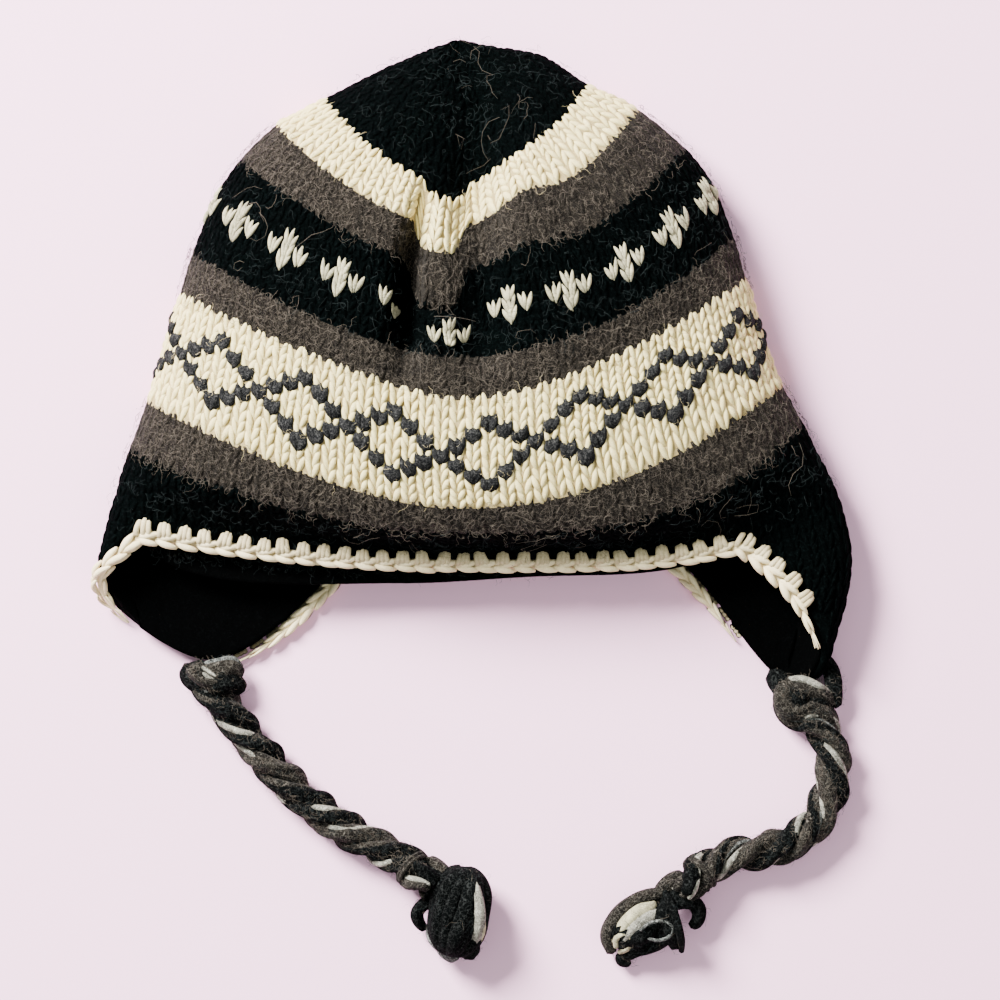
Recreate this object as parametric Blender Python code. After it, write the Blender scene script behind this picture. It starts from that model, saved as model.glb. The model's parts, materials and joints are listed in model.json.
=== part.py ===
"""A knitted chullo hat with ear flaps, laid on its back with its front up.

Metres, +Z up. +X runs across the hat, +Y from the rim to the crown's top, and the surface that it
lies on is z = 0. The hat is one knitted tube, flattened as it lies. A place on it is given by two
numbers: phi goes once round it, from -1 to 1 (0 is the middle of the upper side, -0.5 and 0.5 are
the side folds, and -1 and 1 the middle of the underside), and t goes from 0 at the rim to 1 at the
crown's top, with the ear flaps below 0.
"""

import bpy
import numpy as np

for thing in list(bpy.data.objects):
    bpy.data.objects.remove(thing, do_unlink=True)

# Driving sizes
HAT_WIDTH = 0.300  # across the rim band as it lies
HAT_LENGTH = 0.2612  # from the crown's top to the flap tips as it lies
HAT_RISE = 0.054  # the height of the upper side above the surface
KNIT_WALL = 0.0042  # thick wool knitting
LINING_WALL = 0.0018  # fleece
LINING_BAND = 0.178  # how far up the fleece goes, in t
FLAP_DROP = 0.25  # the flaps' length below the rim, in t
FLAP_HALF = 0.200  # half of a flap's width at the rim, in phi
FLAP_PLACES = (-0.65, 0.55)  # the middle of each flap, in phi
EDGING_WIDTH = 0.0060  # the crocheted chain, across the edge
EDGING_THICK = 0.0036
TIE_DIAMETER = 0.0142
TIE_HEAD = 1.28  # how much thicker the tie is where it is wrapped at the flap's tip
KNOT_LENGTH = 0.037
KNOT_WIDTH = 0.0275
KNOT_HEIGHT = 0.024
BINDING_YARN = 0.0024  # the thin yarn wound round each tie's end
CLEARANCE = 0.00035

LAYERS = KNIT_WALL + LINING_WALL + CLEARANCE
FOLD_RISE = 2.05 * LAYERS  # a side fold is as high as the layers that turn back in it

# The flattened tube, from the flap tips to the crown's top. x and y are shares of HAT_WIDTH and
# HAT_LENGTH from the middle of the outline, top and under are shares of HAT_RISE. The bends say how
# the knitted rows sag from each fold to the middle, and flat how square the upper side is.
SECTION_COLUMNS = (
    "t", "left_x", "left_y", "right_x", "right_y", "front_y", "back_y",
    "left_bend", "right_bend", "top", "flat", "under",
)
SECTIONS = (
    (-0.300, -0.484, -0.456, 0.440, -0.561, -0.466, -0.520, 1.6, 4.0, 0.420, 26.0, -0.056),
    (-0.200, -0.502, -0.396, 0.476, -0.433, -0.405, -0.442, 1.6, 4.0, 0.420, 26.0, -0.056),
    (-0.100, -0.510, -0.325, 0.500, -0.306, -0.353, -0.368, 1.6, 4.0, 0.420, 26.0, -0.056),
    (0.000, -0.496, -0.243, 0.477, -0.188, -0.301, -0.290, 1.6, 3.8, 0.424, 24.0, -0.056),
    (0.040, -0.485, -0.201, 0.461, -0.152, -0.283, -0.258, 1.6, 3.4, 0.519, 12.0, -0.056),
    (0.110, -0.468, -0.136, 0.437, -0.096, -0.263, -0.204, 1.6, 2.9, 0.778, 4.5, -0.056),
    (0.178, -0.444, -0.060, 0.409, -0.036, -0.223, -0.151, 1.4, 1.8, 0.889, 3.2, -0.056),
    (0.384, -0.400, 0.103, 0.360, 0.125, -0.059, 0.011, 1.2, 1.5, 1.000, 2.6, -0.056),
    (0.452, -0.383, 0.166, 0.343, 0.191, 0.007, 0.065, 1.4, 1.8, 1.000, 2.6, -0.056),
    (0.603, -0.320, 0.310, 0.280, 0.328, 0.137, 0.183, 1.4, 1.8, 0.944, 2.5, -0.056),
    (0.671, -0.272, 0.365, 0.217, 0.388, 0.203, 0.237, 1.6, 1.7, 0.889, 2.4, -0.056),
    (0.753, -0.208, 0.405, 0.151, 0.426, 0.267, 0.301, 1.7, 1.6, 0.796, 2.2, -0.056),
    (0.880, -0.115, 0.459, 0.076, 0.477, 0.385, 0.400, 1.7, 1.6, 0.574, 2.0, 0.000),
    (0.940, -0.071, 0.480, 0.027, 0.486, 0.437, 0.448, 1.7, 1.6, 0.444, 2.0, 0.111),
    (1.000, -0.029, 0.498, -0.027, 0.498, 0.497, 0.497, 1.7, 1.6, 0.259, 2.0, 0.250),
)
MIDDLE_X = -0.024  # the line down the front that the rows sag to, as a share of HAT_WIDTH
BACK_BEND = 2.2
BACK_FLAT = 10.0

# Creases and ridges in the upper side: a line from (x0, y0) to (x1, y1), as shares of HAT_WIDTH and
# HAT_LENGTH, its half width as a share of HAT_WIDTH, and how far it sinks at each end as a share of
# HAT_RISE (a ridge sinks by less than nothing).
FOLDS = (
    # x0, y0, x1, y1, half width, sink at 0, sink at 1
    (0.003, 0.455, -0.003, 0.232, 0.034, 0.06, 0.26),  # down the crown
    (-0.003, 0.232, 0.014, 0.030, 0.032, 0.26, 0.16),  # on to the band
    (-0.098, 0.235, -0.093, 0.100, 0.024, 0.06, 0.24),  # left of the ridge
    (-0.093, 0.100, -0.093, -0.040, 0.026, 0.24, 0.04),
    (-0.051, 0.240, -0.051, 0.110, 0.030, -0.03, -0.10),  # the ridge between them
    (-0.045, 0.050, -0.030, 0.050, 0.030, 0.14, 0.14),  # the dip that it hangs over
)
RIDGE_SLIP = 0.066  # how far the ridge has slid toward the rim, as a share of HAT_LENGTH
RIDGE_SPAN = (-0.051, 0.040)  # its middle and half width, as shares of HAT_WIDTH

# How far the fleece shows below the front's rim: phi, and t
LIP = ((-0.47, 0.0), (-0.41, 0.060), (-0.10, 0.086), (0.15, 0.062), (0.30, 0.044), (0.38, 0.0))
LIP_SAG = 0.0008  # how far it hangs away from the edging there

# The mesh: how many columns from each phi to the next, and the rows above the rim
COLUMN_RUNS = ((-1.0, 3), (-0.86, 14), (-0.44, 8), (-0.16, 15), (0.10, 6), (0.34, 15), (0.76, 4))
EDGE_ROWS = 5
ROWS = (0.11, 0.145, LINING_BAND, 0.23, 0.28, 0.33, 0.384, 0.43, 0.48, 0.53, 0.58, 0.63, 0.68,
        0.73, 0.78, 0.83, 0.88, 0.92, 0.96)
INNER_TOP = 0.955  # where the hollow closes, in t

# Where the ties lie, from the flap tip to the knot: x and y as shares of HAT_WIDTH and HAT_LENGTH.
TIE_LEFT = ((-0.335, -0.528), (-0.316, -0.562), (-0.287, -0.600), (-0.255, -0.643),
            (-0.226, -0.673), (-0.188, -0.706), (-0.134, -0.742), (-0.096, -0.766),
            (-0.076, -0.789))
TIE_RIGHT = ((0.452, -0.545), (0.467, -0.574), (0.474, -0.608), (0.473, -0.642), (0.465, -0.674),
             (0.449, -0.705), (0.424, -0.730), (0.388, -0.745), (0.345, -0.753), (0.306, -0.771),
             (0.283, -0.794))
EDGING_RUNS = {"edging_front": (-0.56, 0.475), "edging_back": (0.64, 1.310)}


def smooth(xs, ys, x):
    """A curve through the points (xs, ys), with the slopes of its neighbours, read at x."""
    xs, ys = np.asarray(xs, float), np.asarray(ys, float)
    slope = np.gradient(ys, xs)
    x = np.clip(x, xs[0], xs[-1])
    i = np.clip(np.searchsorted(xs, x, side="right") - 1, 0, len(xs) - 2)
    h = xs[i + 1] - xs[i]
    s = (x - xs[i]) / h
    return (
        ys[i] * (1 + 2 * s) * (1 - s) ** 2
        + slope[i] * h * s * (1 - s) ** 2
        + ys[i + 1] * s**2 * (3 - 2 * s)
        + slope[i + 1] * h * s**2 * (s - 1)
    )


def section(name, t):
    """One column of SECTIONS at t, in metres where it is a length."""
    share = {"x": HAT_WIDTH, "y": HAT_LENGTH}.get(name[-1], 1.0)
    if name in ("top", "under"):
        share = HAT_RISE
    table = np.array(SECTIONS)
    values = table[:, SECTION_COLUMNS.index(name)] * share
    if name == "flat":
        return np.interp(t, table[:, 0], values)
    return smooth(table[:, 0], values, t)


def tube(psi, t):
    """The outside without its creases, at the angle psi round it: 0 up, a quarter turn at a fold."""
    u, up = np.sin(psi), np.cos(psi)
    left, right = section("left_x", t), section("right_x", t)
    middle = MIDDLE_X * HAT_WIDTH
    x = np.where(u > 0, middle + (right - middle) * u, middle + (middle - left) * u)
    side = np.where(u > 0, section("right_y", t), section("left_y", t))
    bend = np.where(u > 0, section("right_bend", t), section("left_bend", t))
    away = np.sqrt(u**2 + 0.004) - np.sqrt(0.004) * (1 - u**2)
    front, back = section("front_y", t), section("back_y", t)
    y = np.where(
        up > 0,
        front + (side - front) * np.clip(away, 0, 1) ** bend,
        back + (side - back) * np.abs(u) ** BACK_BEND,
    )
    fold = FOLD_RISE + (section("top", 1.0) - FOLD_RISE) * np.clip((t - 0.9) / 0.1, 0, 1)
    over = np.sqrt(np.clip(1 - np.abs(u) ** section("flat", t), 0, 1))
    below = np.sqrt(np.clip(1 - np.abs(u) ** BACK_FLAT, 0, 1))
    top = np.maximum(section("top", t), fold)
    z = np.where(
        up > 0,
        fold + (top - fold) * over,
        fold - (fold - section("under", t)) * below,
    )
    return np.stack([x, y, np.maximum(z, 0.0)], -1)


def creases(place, psi, spread):
    """How far the creases and the slipped ridge move a place on the upper side."""
    x, y = place[..., 0], place[..., 1]
    sink = np.zeros_like(x)
    for x0, y0, x1, y1, half, sink0, sink1 in FOLDS:
        a = np.array([x0 * HAT_WIDTH, y0 * HAT_LENGTH])
        d = np.array([x1 * HAT_WIDTH, y1 * HAT_LENGTH]) - a
        along = np.clip(((x - a[0]) * d[0] + (y - a[1]) * d[1]) / (d @ d), 0, 1)
        off = np.hypot(x - a[0] - along * d[0], y - a[1] - along * d[1])
        wide = half * HAT_WIDTH + np.where(sink0 + sink1 > 0, spread, -0.3 * spread)
        depth = (sink0 + (sink1 - sink0) * along) * HAT_RISE
        sink = np.where(
            sink0 + sink1 > 0,
            np.maximum(sink, depth * np.exp(-((off / wide) ** 2))),
            sink + depth * np.exp(-((off / wide) ** 2)),
        )
    middle, half = (share * HAT_WIDTH for share in RIDGE_SPAN)
    high = y / HAT_LENGTH
    rise = np.clip((high - 0.0) / 0.145, 0, 1)
    fall = np.clip((0.36 - high) / 0.19, 0, 1)
    slip = (rise**2 * (3 - 2 * rise)) * (fall**2 * (3 - 2 * fall))
    slip = RIDGE_SLIP * HAT_LENGTH * slip * np.exp(-(((x - middle) / half) ** 4))
    upper = np.clip(np.cos(psi) / 0.3, 0, 1)
    upper = upper**2 * (3 - 2 * upper)
    return np.stack([np.zeros_like(x), -slip * upper, -sink * upper], -1)


def ways_round():
    """A table of the angle psi for even steps of phi, measured along the creased outside."""
    ts = np.linspace(SECTIONS[0][0], 1.0, 66)
    ts[-1] = 0.9995
    phis = np.linspace(-1, 1, 401)
    found = np.zeros((len(ts), len(phis)))
    quarter = np.pi / 2
    for part, (psi0, psi1) in enumerate(((-np.pi, -quarter), (-quarter, quarter), (quarter, np.pi))):
        psi = np.linspace(psi0, psi1, (181, 361, 181)[part])
        grid_psi, grid_t = np.meshgrid(psi, ts)
        place = tube(grid_psi, grid_t)
        place = place + 0.3 * creases(place, grid_psi, 0.0)
        step = np.linalg.norm(np.diff(place, axis=1), axis=2)
        far = np.concatenate([np.zeros((len(ts), 1)), np.cumsum(step, axis=1)], axis=1)
        far /= far[:, -1:]
        phi0, phi1 = ((-1, -0.5), (-0.5, 0.5), (0.5, 1))[part]
        here = (phis >= phi0 - 1e-9) & (phis <= phi1 + 1e-9)
        for row in range(len(ts)):
            found[row, here] = np.interp((phis[here] - phi0) / (phi1 - phi0), far[row], psi)
    return ts, phis, found


TABLE_T, TABLE_PHI, TABLE_PSI = ways_round()


def angle(phi, t):
    """The angle psi at phi and t, read between the rows of the table."""
    phi = np.clip(phi, -1, 1)
    i = np.clip(np.searchsorted(TABLE_T, t) - 1, 0, len(TABLE_T) - 2)
    j = np.clip(np.searchsorted(TABLE_PHI, phi) - 1, 0, len(TABLE_PHI) - 2)
    a = np.clip((t - TABLE_T[i]) / (TABLE_T[i + 1] - TABLE_T[i]), 0, 1)
    b = (phi - TABLE_PHI[j]) / (TABLE_PHI[j + 1] - TABLE_PHI[j])
    low = TABLE_PSI[i, j] * (1 - b) + TABLE_PSI[i, j + 1] * b
    high = TABLE_PSI[i + 1, j] * (1 - b) + TABLE_PSI[i + 1, j + 1] * b
    return low * (1 - a) + high * a


def turned(phi):
    """phi brought back between -1 and 1."""
    return (np.asarray(phi, float) + 1) % 2 - 1


def outward(psi, t):
    """The direction out of the wall, of length 1, without the creases."""
    small = 0.004
    across = tube(psi + small, t) - tube(psi - small, t)
    up = tube(psi, np.minimum(t + small, 1)) - tube(psi, t - small)
    out = np.cross(across, up)
    return out / np.maximum(np.linalg.norm(out, axis=-1, keepdims=True), 1e-12)


def hat(phi, t, depth=0.0):
    """A place in the wall, that depth inside its outer face."""
    phi, t, depth = np.broadcast_arrays(turned(phi), np.asarray(t, float), depth)
    psi = angle(phi, t)
    place = tube(psi, t)
    shift = creases(place, psi, 0.6 * depth)
    return place - outward(psi, t) * depth[..., None] + shift


def rim(phi):
    """The t of the knitting's edge: 0 at the rim, and down round each flap."""
    phi = turned(phi)
    edge = np.zeros_like(phi)
    for middle in FLAP_PLACES:
        c = np.abs(turned(phi - middle)) / FLAP_HALF
        reach = 1 - ((c**2 + 0.01) ** 0.8 - 0.01**0.8)
        reach = (reach + np.sqrt(reach**2 + 0.006)) / 2
        edge = edge - FLAP_DROP * np.where(c < 1.35, reach * np.clip((1.35 - c) / 0.35, 0, 1), 0)
    return edge


def columns():
    """The phi of each column of the mesh."""
    ends = [start for start, _ in COLUMN_RUNS[1:]] + [1.0]
    runs = [
        start + (end - start) * np.arange(count) / count
        for (start, count), end in zip(COLUMN_RUNS, ends)
    ]
    return np.concatenate(runs)


def rows(phi, top):
    """The t of each row at each column: from the edge up to the crown's top, or to the hollow's."""
    edge = rim(phi)[None, :]
    low = edge + (ROWS[0] - edge) * (np.arange(EDGE_ROWS) / EDGE_ROWS)[:, None]
    high = np.repeat(np.array(ROWS)[:, None], len(phi), axis=1)
    t = np.concatenate([low, high])
    return edge + (t - edge) * (top - edge) / (1 - edge)


def make(name, points, faces, colour, rough):
    """An object with these points and faces, shaded smooth, with a material of its own."""
    mesh = bpy.data.meshes.new(name)
    mesh.from_pydata([tuple(p) for p in points], [], [tuple(f) for f in faces])
    mesh.update()
    mesh.shade_smooth()
    mesh.set_sharp_from_angle(angle=np.radians(50))
    return add(name, mesh, colour, rough)


def add(name, data, colour, rough):
    thing = bpy.data.objects.new(name, data)
    bpy.context.collection.objects.link(thing)
    material = bpy.data.materials.new(name + "_material")
    material.use_nodes = True
    shader = material.node_tree.nodes["Principled BSDF"]
    shader.inputs["Base Color"].default_value = (*colour, 1.0)
    shader.inputs["Roughness"].default_value = rough
    shader.inputs["Metallic"].default_value = 0.0
    data.materials.append(material)
    return thing


def ring_faces(count, start_a, start_b):
    """Triangles between two rings of points, as numbers of their points."""
    faces = []
    for i in range(count):
        a, b = start_a + i, start_a + (i + 1) % count
        c, d = start_b + (i + 1) % count, start_b + i
        faces += [(a, b, c), (a, c, d)]
    return faces


def wall(name, outer, inner, capped, colour, rough):
    """A closed wall between two grids of rows of places, open at the top or closed over both."""
    count = outer.shape[1]
    points = np.concatenate([outer.reshape(-1, 3), inner.reshape(-1, 3)])
    start = outer.shape[0] * count
    faces = []
    for j in range(outer.shape[0] - 1):
        faces += ring_faces(count, j * count, (j + 1) * count)
    for j in range(inner.shape[0] - 1):
        faces += [f[::-1] for f in ring_faces(count, start + j * count, start + (j + 1) * count)]
    faces += [f[::-1] for f in ring_faces(count, 0, start)]
    last_outer, last_inner = start - count, len(points) - count
    if capped is None:
        faces += ring_faces(count, last_outer, last_inner)
    else:
        points = np.concatenate([points, capped])
        tip = len(points) - 2
        faces += [(last_outer + i, last_outer + (i + 1) % count, tip) for i in range(count)]
        faces += [(last_inner + (i + 1) % count, last_inner + i, tip + 1) for i in range(count)]
    return make(name, points, faces, colour, rough)


def knit_body():
    phi = columns()
    outer = hat(phi[None, :], rows(phi, 1.0))
    inner = hat(phi[None, :], rows(phi, INNER_TOP), KNIT_WALL)
    tips = np.array([hat(0.0, 1.0), hat(phi, np.full(len(phi), INNER_TOP), KNIT_WALL).mean(0)])
    return wall("knit_body", outer, inner, tips, (0.012, 0.014, 0.014), 0.95)


def fleece_lining():
    phi = columns()
    t = rows(phi, INNER_TOP)[: EDGE_ROWS + ROWS.index(LINING_BAND) + 1]
    lip = smooth([p for p, _ in LIP], [s for _, s in LIP], phi)
    lip = np.where((phi > LIP[0][0]) & (phi < LIP[-1][0]), np.maximum(lip, 0), 0)
    sag = np.zeros((len(t) + 2, len(phi)))
    sag[:2] = LIP_SAG * np.clip(lip / 0.05, 0, 1)
    t = np.concatenate([t[:1] - lip - 0.003, t[:1] - lip / 2 - 0.0015, t])
    grids = [hat(phi[None, :], t, depth + sag) for depth in (KNIT_WALL + CLEARANCE, LAYERS)]
    return wall("fleece_lining", *grids, None, (0.006, 0.006, 0.008), 0.9)


def edging(name, phi):
    """A chain along the knitting's edge: an oval swept beside it, closed at both ends."""
    middle, t, small = EDGING_THICK / 2 + 0.0001, rim(phi), 0.0015
    edge = hat(phi, t, middle)
    step = np.diff(edge, axis=0)
    step /= np.linalg.norm(step, axis=-1, keepdims=True)
    tangent = np.concatenate([step[:1], (step[:-1] + step[1:]) / 2, step[-1:]])
    turn = np.linalg.norm(tangent, axis=-1)
    # The mix of the two ways along the wall that is square to the tangent and leads off the edge
    by_phi = hat(phi + small, t, middle) - hat(phi - small, t, middle)
    by_t = hat(phi, t + small, middle) - hat(phi, t - small, middle)
    a, b = (by_t * tangent).sum(-1), -(by_phi * tangent).sum(-1)
    away = a[:, None] * by_phi + b[:, None] * by_t
    size = np.where(b > 0, -1.0, 1.0) / np.linalg.norm(away, axis=-1) * 2 * small / turn
    reach = (CLEARANCE + EDGING_WIDTH / 2) * size
    place = hat(phi + a * reach, t + b * reach, middle)
    out = place - edge
    out /= np.linalg.norm(out, axis=-1, keepdims=True)
    normal = outward(angle(turned(phi + a * reach), t + b * reach), t + b * reach)
    normal -= (normal * out).sum(-1, keepdims=True) * out
    normal /= np.linalg.norm(normal, axis=-1, keepdims=True)
    turns = np.arange(8) * np.pi / 4
    ring = (
        place[:, None, :]
        + out[:, None, :] * (np.cos(turns) * EDGING_WIDTH / 2)[None, :, None]
        + normal[:, None, :] * (np.sin(turns) * EDGING_THICK / 2)[None, :, None]
    )
    points = ring.reshape(-1, 3)
    faces = []
    for i in range(len(phi) - 1):
        faces += [f[::-1] for f in ring_faces(8, i * 8, (i + 1) * 8)]
    faces += [tuple(range(8)), tuple(range(len(points) - 8, len(points)))[::-1]]
    return make(name, points, faces, (0.78, 0.73, 0.62), 0.9)


def edging_columns(name):
    """The columns of the mesh between the two ends of an edging."""
    start, end = EDGING_RUNS[name]
    every = np.concatenate([columns(), columns() + 2])
    return every[(every >= start) & (every <= end)]


def route(name, points):
    """A tie's centre line: from its flap's tip through its points, up to the knot's height."""
    middle = FLAP_PLACES[0 if name == "left" else 1]
    tip, above = hat(middle, rim(middle) + np.array([0.0, 0.03]), LAYERS / 2)[:, :2]
    plan = np.array(points) * (HAT_WIDTH, HAT_LENGTH)
    leave = (tip - above) / np.linalg.norm(tip - above)
    plan = np.concatenate([tip + leave * np.array([[0.0025], [0.0080]]), plan])
    steps = np.concatenate([[0], np.cumsum(np.linalg.norm(np.diff(plan, axis=0), axis=1))])
    far = np.linspace(0, steps[-1], 26)
    x, y = (smooth(steps, plan[:, k], far) for k in (0, 1))
    share = far / far[-1]
    swell = 1 + (TIE_HEAD - 1) * np.clip(1 - far / (1.3 * TIE_DIAMETER), 0, 1) ** 1.5
    low = TIE_DIAMETER / 2 * swell + 0.0001
    lift = np.clip((share - 0.86) / 0.14, 0, 1) ** 2 * (KNOT_HEIGHT / 2 - TIE_DIAMETER / 2)
    return np.stack([x, y, low + lift], -1), swell


def tie(name, points):
    line, swell = route(name, points)
    curve = bpy.data.curves.new("tie_" + name, "CURVE")
    curve.dimensions = "3D"
    curve.bevel_depth = TIE_DIAMETER / 2
    curve.bevel_resolution = 3
    curve.use_fill_caps = True
    spline = curve.splines.new("POLY")
    spline.points.add(len(line) - 1)
    for point, place, radius in zip(spline.points, line, swell):
        point.co = (*place, 1.0)
        point.radius = radius
    return add("tie_" + name, curve, (0.10, 0.09, 0.08), 0.95)


def end_knot(name, points, length, width, lobes):
    """A closed lump beyond the tie's end, along its way, with a few broad lobes."""
    line, _ = route(name, points)
    way = line[-1] - line[-3]
    way[2] = 0
    way /= np.linalg.norm(way)
    side = np.array([-way[1], way[0], 0])
    up = np.array([0, 0, 1.0])
    middle = line[-1] + way * (length / 2 + 0.0013)
    middle[2] = KNOT_HEIGHT / 2 + 0.0002
    along = np.linspace(0, np.pi, 9)[1:-1]
    turn = np.arange(14) * 2 * np.pi / 14
    a, c = np.meshgrid(along, turn, indexing="ij")
    swell = 1 - 0.07 * (1 - np.cos(lobes * c + 1.3 * a))
    points_of = (
        middle
        - way * (np.cos(a) * length / 2)[..., None]
        + side * (np.sin(a) ** 0.8 * np.cos(c) * swell * width / 2)[..., None]
        + up * (np.sin(a) ** 0.8 * np.sin(c) * swell * KNOT_HEIGHT / 2)[..., None]
    )
    count, grid = 14, points_of.reshape(-1, 3)
    faces = []
    for j in range(len(along) - 1):
        faces += ring_faces(count, j * count, (j + 1) * count)
    ends = np.array([middle - way * length / 2, middle + way * length / 2])
    tip, last = len(grid), len(grid) - count
    faces += [((i + 1) % count, i, tip) for i in range(count)]
    faces += [(last + i, last + (i + 1) % count, tip + 1) for i in range(count)]
    return make("end_knot_" + name, np.concatenate([grid, ends]), faces, (0.05, 0.05, 0.05), 0.95)


def knot_binding(name, points):
    """The thin yarn wound round the tie, just before the knot."""
    line, _ = route(name, points)
    place, way = line[-2], line[-1] - line[-3]
    way /= np.linalg.norm(way)
    side = np.cross((0, 0, 1.0), way)
    side /= np.linalg.norm(side)
    up = np.cross(way, side)
    radius = TIE_DIAMETER / 2 + CLEARANCE + BINDING_YARN / 2
    turn, bead = np.arange(16) * np.pi / 8, np.arange(6) * np.pi / 3
    grid = np.array([
        place
        + (side * np.cos(a) + up * np.sin(a)) * (radius + BINDING_YARN / 2 * np.cos(b))
        + way * BINDING_YARN / 2 * np.sin(b)
        for a in turn
        for b in bead
    ])
    faces = []
    for i in range(16):
        faces += [f[::-1] for f in ring_faces(6, i * 6, (i + 1) % 16 * 6)]
    return make("knot_binding_" + name, grid, faces, (0.01, 0.01, 0.01), 0.9)


knit_body()
fleece_lining()
for edging_name in EDGING_RUNS:
    edging(edging_name, edging_columns(edging_name))
for tie_name, tie_points in (("left", TIE_LEFT), ("right", TIE_RIGHT)):
    tie(tie_name, tie_points)
    knot_binding(tie_name, tie_points)
end_knot("left", TIE_LEFT, KNOT_LENGTH, KNOT_WIDTH, 3)
end_knot("right", TIE_RIGHT, KNOT_LENGTH, KNOT_WIDTH, 2)

# The origin is the middle of the hat's outline without its ties, on the surface.
hat_names = ("knit_body", "fleece_lining", *EDGING_RUNS)
corners = np.array([v.co for name in hat_names for v in bpy.data.objects[name].data.vertices])
middle = (corners.min(0) + corners.max(0)) / 2
for thing in bpy.data.objects:
    if thing.type == "CURVE":
        for point in thing.data.splines[0].points:
            point.co = (point.co[0] - middle[0], point.co[1] - middle[1], point.co[2], 1.0)
    else:
        for vertex in thing.data.vertices:
            vertex.co = (vertex.co[0] - middle[0], vertex.co[1] - middle[1], vertex.co[2])
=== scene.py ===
"""The looks of the chullo hat: knitted stitches, crocheted edging, ties, knots and loose fibres.

Metres, in the frame's own axes. The hat's surface is made as its solids' was, with sharper folds:
phi goes once round it, from -1 to 1 (0 is the middle of the upper side, -0.5 and 0.5 are the side
folds), and t goes from 0 at the rim to 1 at the crown's top, with the ear flaps below 0.
"""

import json

import bpy
import numpy as np
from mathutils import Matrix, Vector

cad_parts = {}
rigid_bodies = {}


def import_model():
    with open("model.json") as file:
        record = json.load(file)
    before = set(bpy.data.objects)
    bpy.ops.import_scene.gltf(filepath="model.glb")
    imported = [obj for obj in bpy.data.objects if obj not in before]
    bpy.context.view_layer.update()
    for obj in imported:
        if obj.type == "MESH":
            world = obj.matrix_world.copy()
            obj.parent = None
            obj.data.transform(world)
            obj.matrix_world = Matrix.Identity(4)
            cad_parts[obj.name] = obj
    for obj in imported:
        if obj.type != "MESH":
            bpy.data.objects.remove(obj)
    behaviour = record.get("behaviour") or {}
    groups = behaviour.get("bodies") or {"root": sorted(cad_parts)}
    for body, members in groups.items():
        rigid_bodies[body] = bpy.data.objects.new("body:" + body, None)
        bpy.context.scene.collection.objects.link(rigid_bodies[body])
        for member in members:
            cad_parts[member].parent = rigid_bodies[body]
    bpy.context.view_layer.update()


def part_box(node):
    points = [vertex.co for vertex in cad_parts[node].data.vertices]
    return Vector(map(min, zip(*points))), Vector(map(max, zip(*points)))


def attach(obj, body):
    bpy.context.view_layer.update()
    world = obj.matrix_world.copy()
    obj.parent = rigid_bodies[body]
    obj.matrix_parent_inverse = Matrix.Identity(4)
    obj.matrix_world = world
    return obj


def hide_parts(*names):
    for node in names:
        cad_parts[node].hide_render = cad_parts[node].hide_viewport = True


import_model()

rng = np.random.default_rng(20)

# The solids' sizes and sections, with this script's own folds, ridge and lip
HAT_WIDTH = 0.3
HAT_LENGTH = 0.2612
HAT_RISE = 0.054
KNIT_WALL = 0.0042
LINING_WALL = 0.0018
LINING_BAND = 0.178
FLAP_DROP = 0.25
FLAP_HALF = 0.2
FLAP_PLACES = (-0.65, 0.55)
TIE_DIAMETER = 0.0142
TIE_HEAD = 1.28
KNOT_HEIGHT = 0.024
CLEARANCE = 0.00035
LAYERS = KNIT_WALL + LINING_WALL + CLEARANCE
FOLD_RISE = 2.05 * LAYERS

SECTION_COLUMNS = (
    "t", "left_x", "left_y", "right_x", "right_y", "front_y", "back_y",
    "left_bend", "right_bend", "top", "flat", "under",
)
SECTIONS = (
    (-0.3, -0.484, -0.456, 0.44, -0.561, -0.466, -0.52, 1.6, 4, 0.42, 26, -0.056),
    (-0.2, -0.502, -0.396, 0.476, -0.433, -0.405, -0.442, 1.6, 4, 0.42, 26, -0.056),
    (-0.1, -0.51, -0.325, 0.5, -0.306, -0.353, -0.368, 1.6, 4, 0.42, 26, -0.056),
    (0, -0.496, -0.243, 0.477, -0.188, -0.301, -0.29, 1.6, 3.8, 0.424, 24, -0.056),
    (0.04, -0.485, -0.201, 0.461, -0.152, -0.283, -0.258, 1.6, 3.4, 0.519, 12, -0.056),
    (0.11, -0.468, -0.136, 0.437, -0.096, -0.263, -0.204, 1.6, 2.9, 0.778, 4.5, -0.056),
    (0.178, -0.444, -0.06, 0.409, -0.036, -0.223, -0.151, 1.4, 1.8, 0.889, 3.2, -0.056),
    (0.384, -0.4, 0.103, 0.36, 0.125, -0.059, 0.011, 1.2, 1.5, 1, 2.6, -0.056),
    (0.452, -0.383, 0.166, 0.343, 0.191, 0.007, 0.065, 1.4, 1.8, 1, 2.6, -0.056),
    (0.603, -0.32, 0.31, 0.28, 0.328, 0.137, 0.183, 1.4, 1.8, 0.944, 2.5, -0.056),
    (0.671, -0.272, 0.365, 0.217, 0.388, 0.203, 0.237, 1.6, 1.7, 0.889, 2.4, -0.056),
    (0.753, -0.208, 0.405, 0.151, 0.426, 0.267, 0.301, 1.7, 1.6, 0.796, 2.2, -0.056),
    (0.88, -0.115, 0.459, 0.076, 0.477, 0.385, 0.4, 1.7, 1.6, 0.574, 2, 0),
    (0.94, -0.071, 0.48, 0.027, 0.486, 0.437, 0.448, 1.7, 1.6, 0.444, 2, 0.111),
    (1, -0.029, 0.498, -0.027, 0.498, 0.497, 0.497, 1.7, 1.6, 0.259, 2, 0.25),
)
MIDDLE_X = -0.024
BACK_BEND = 2.2
BACK_FLAT = 10.0
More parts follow.
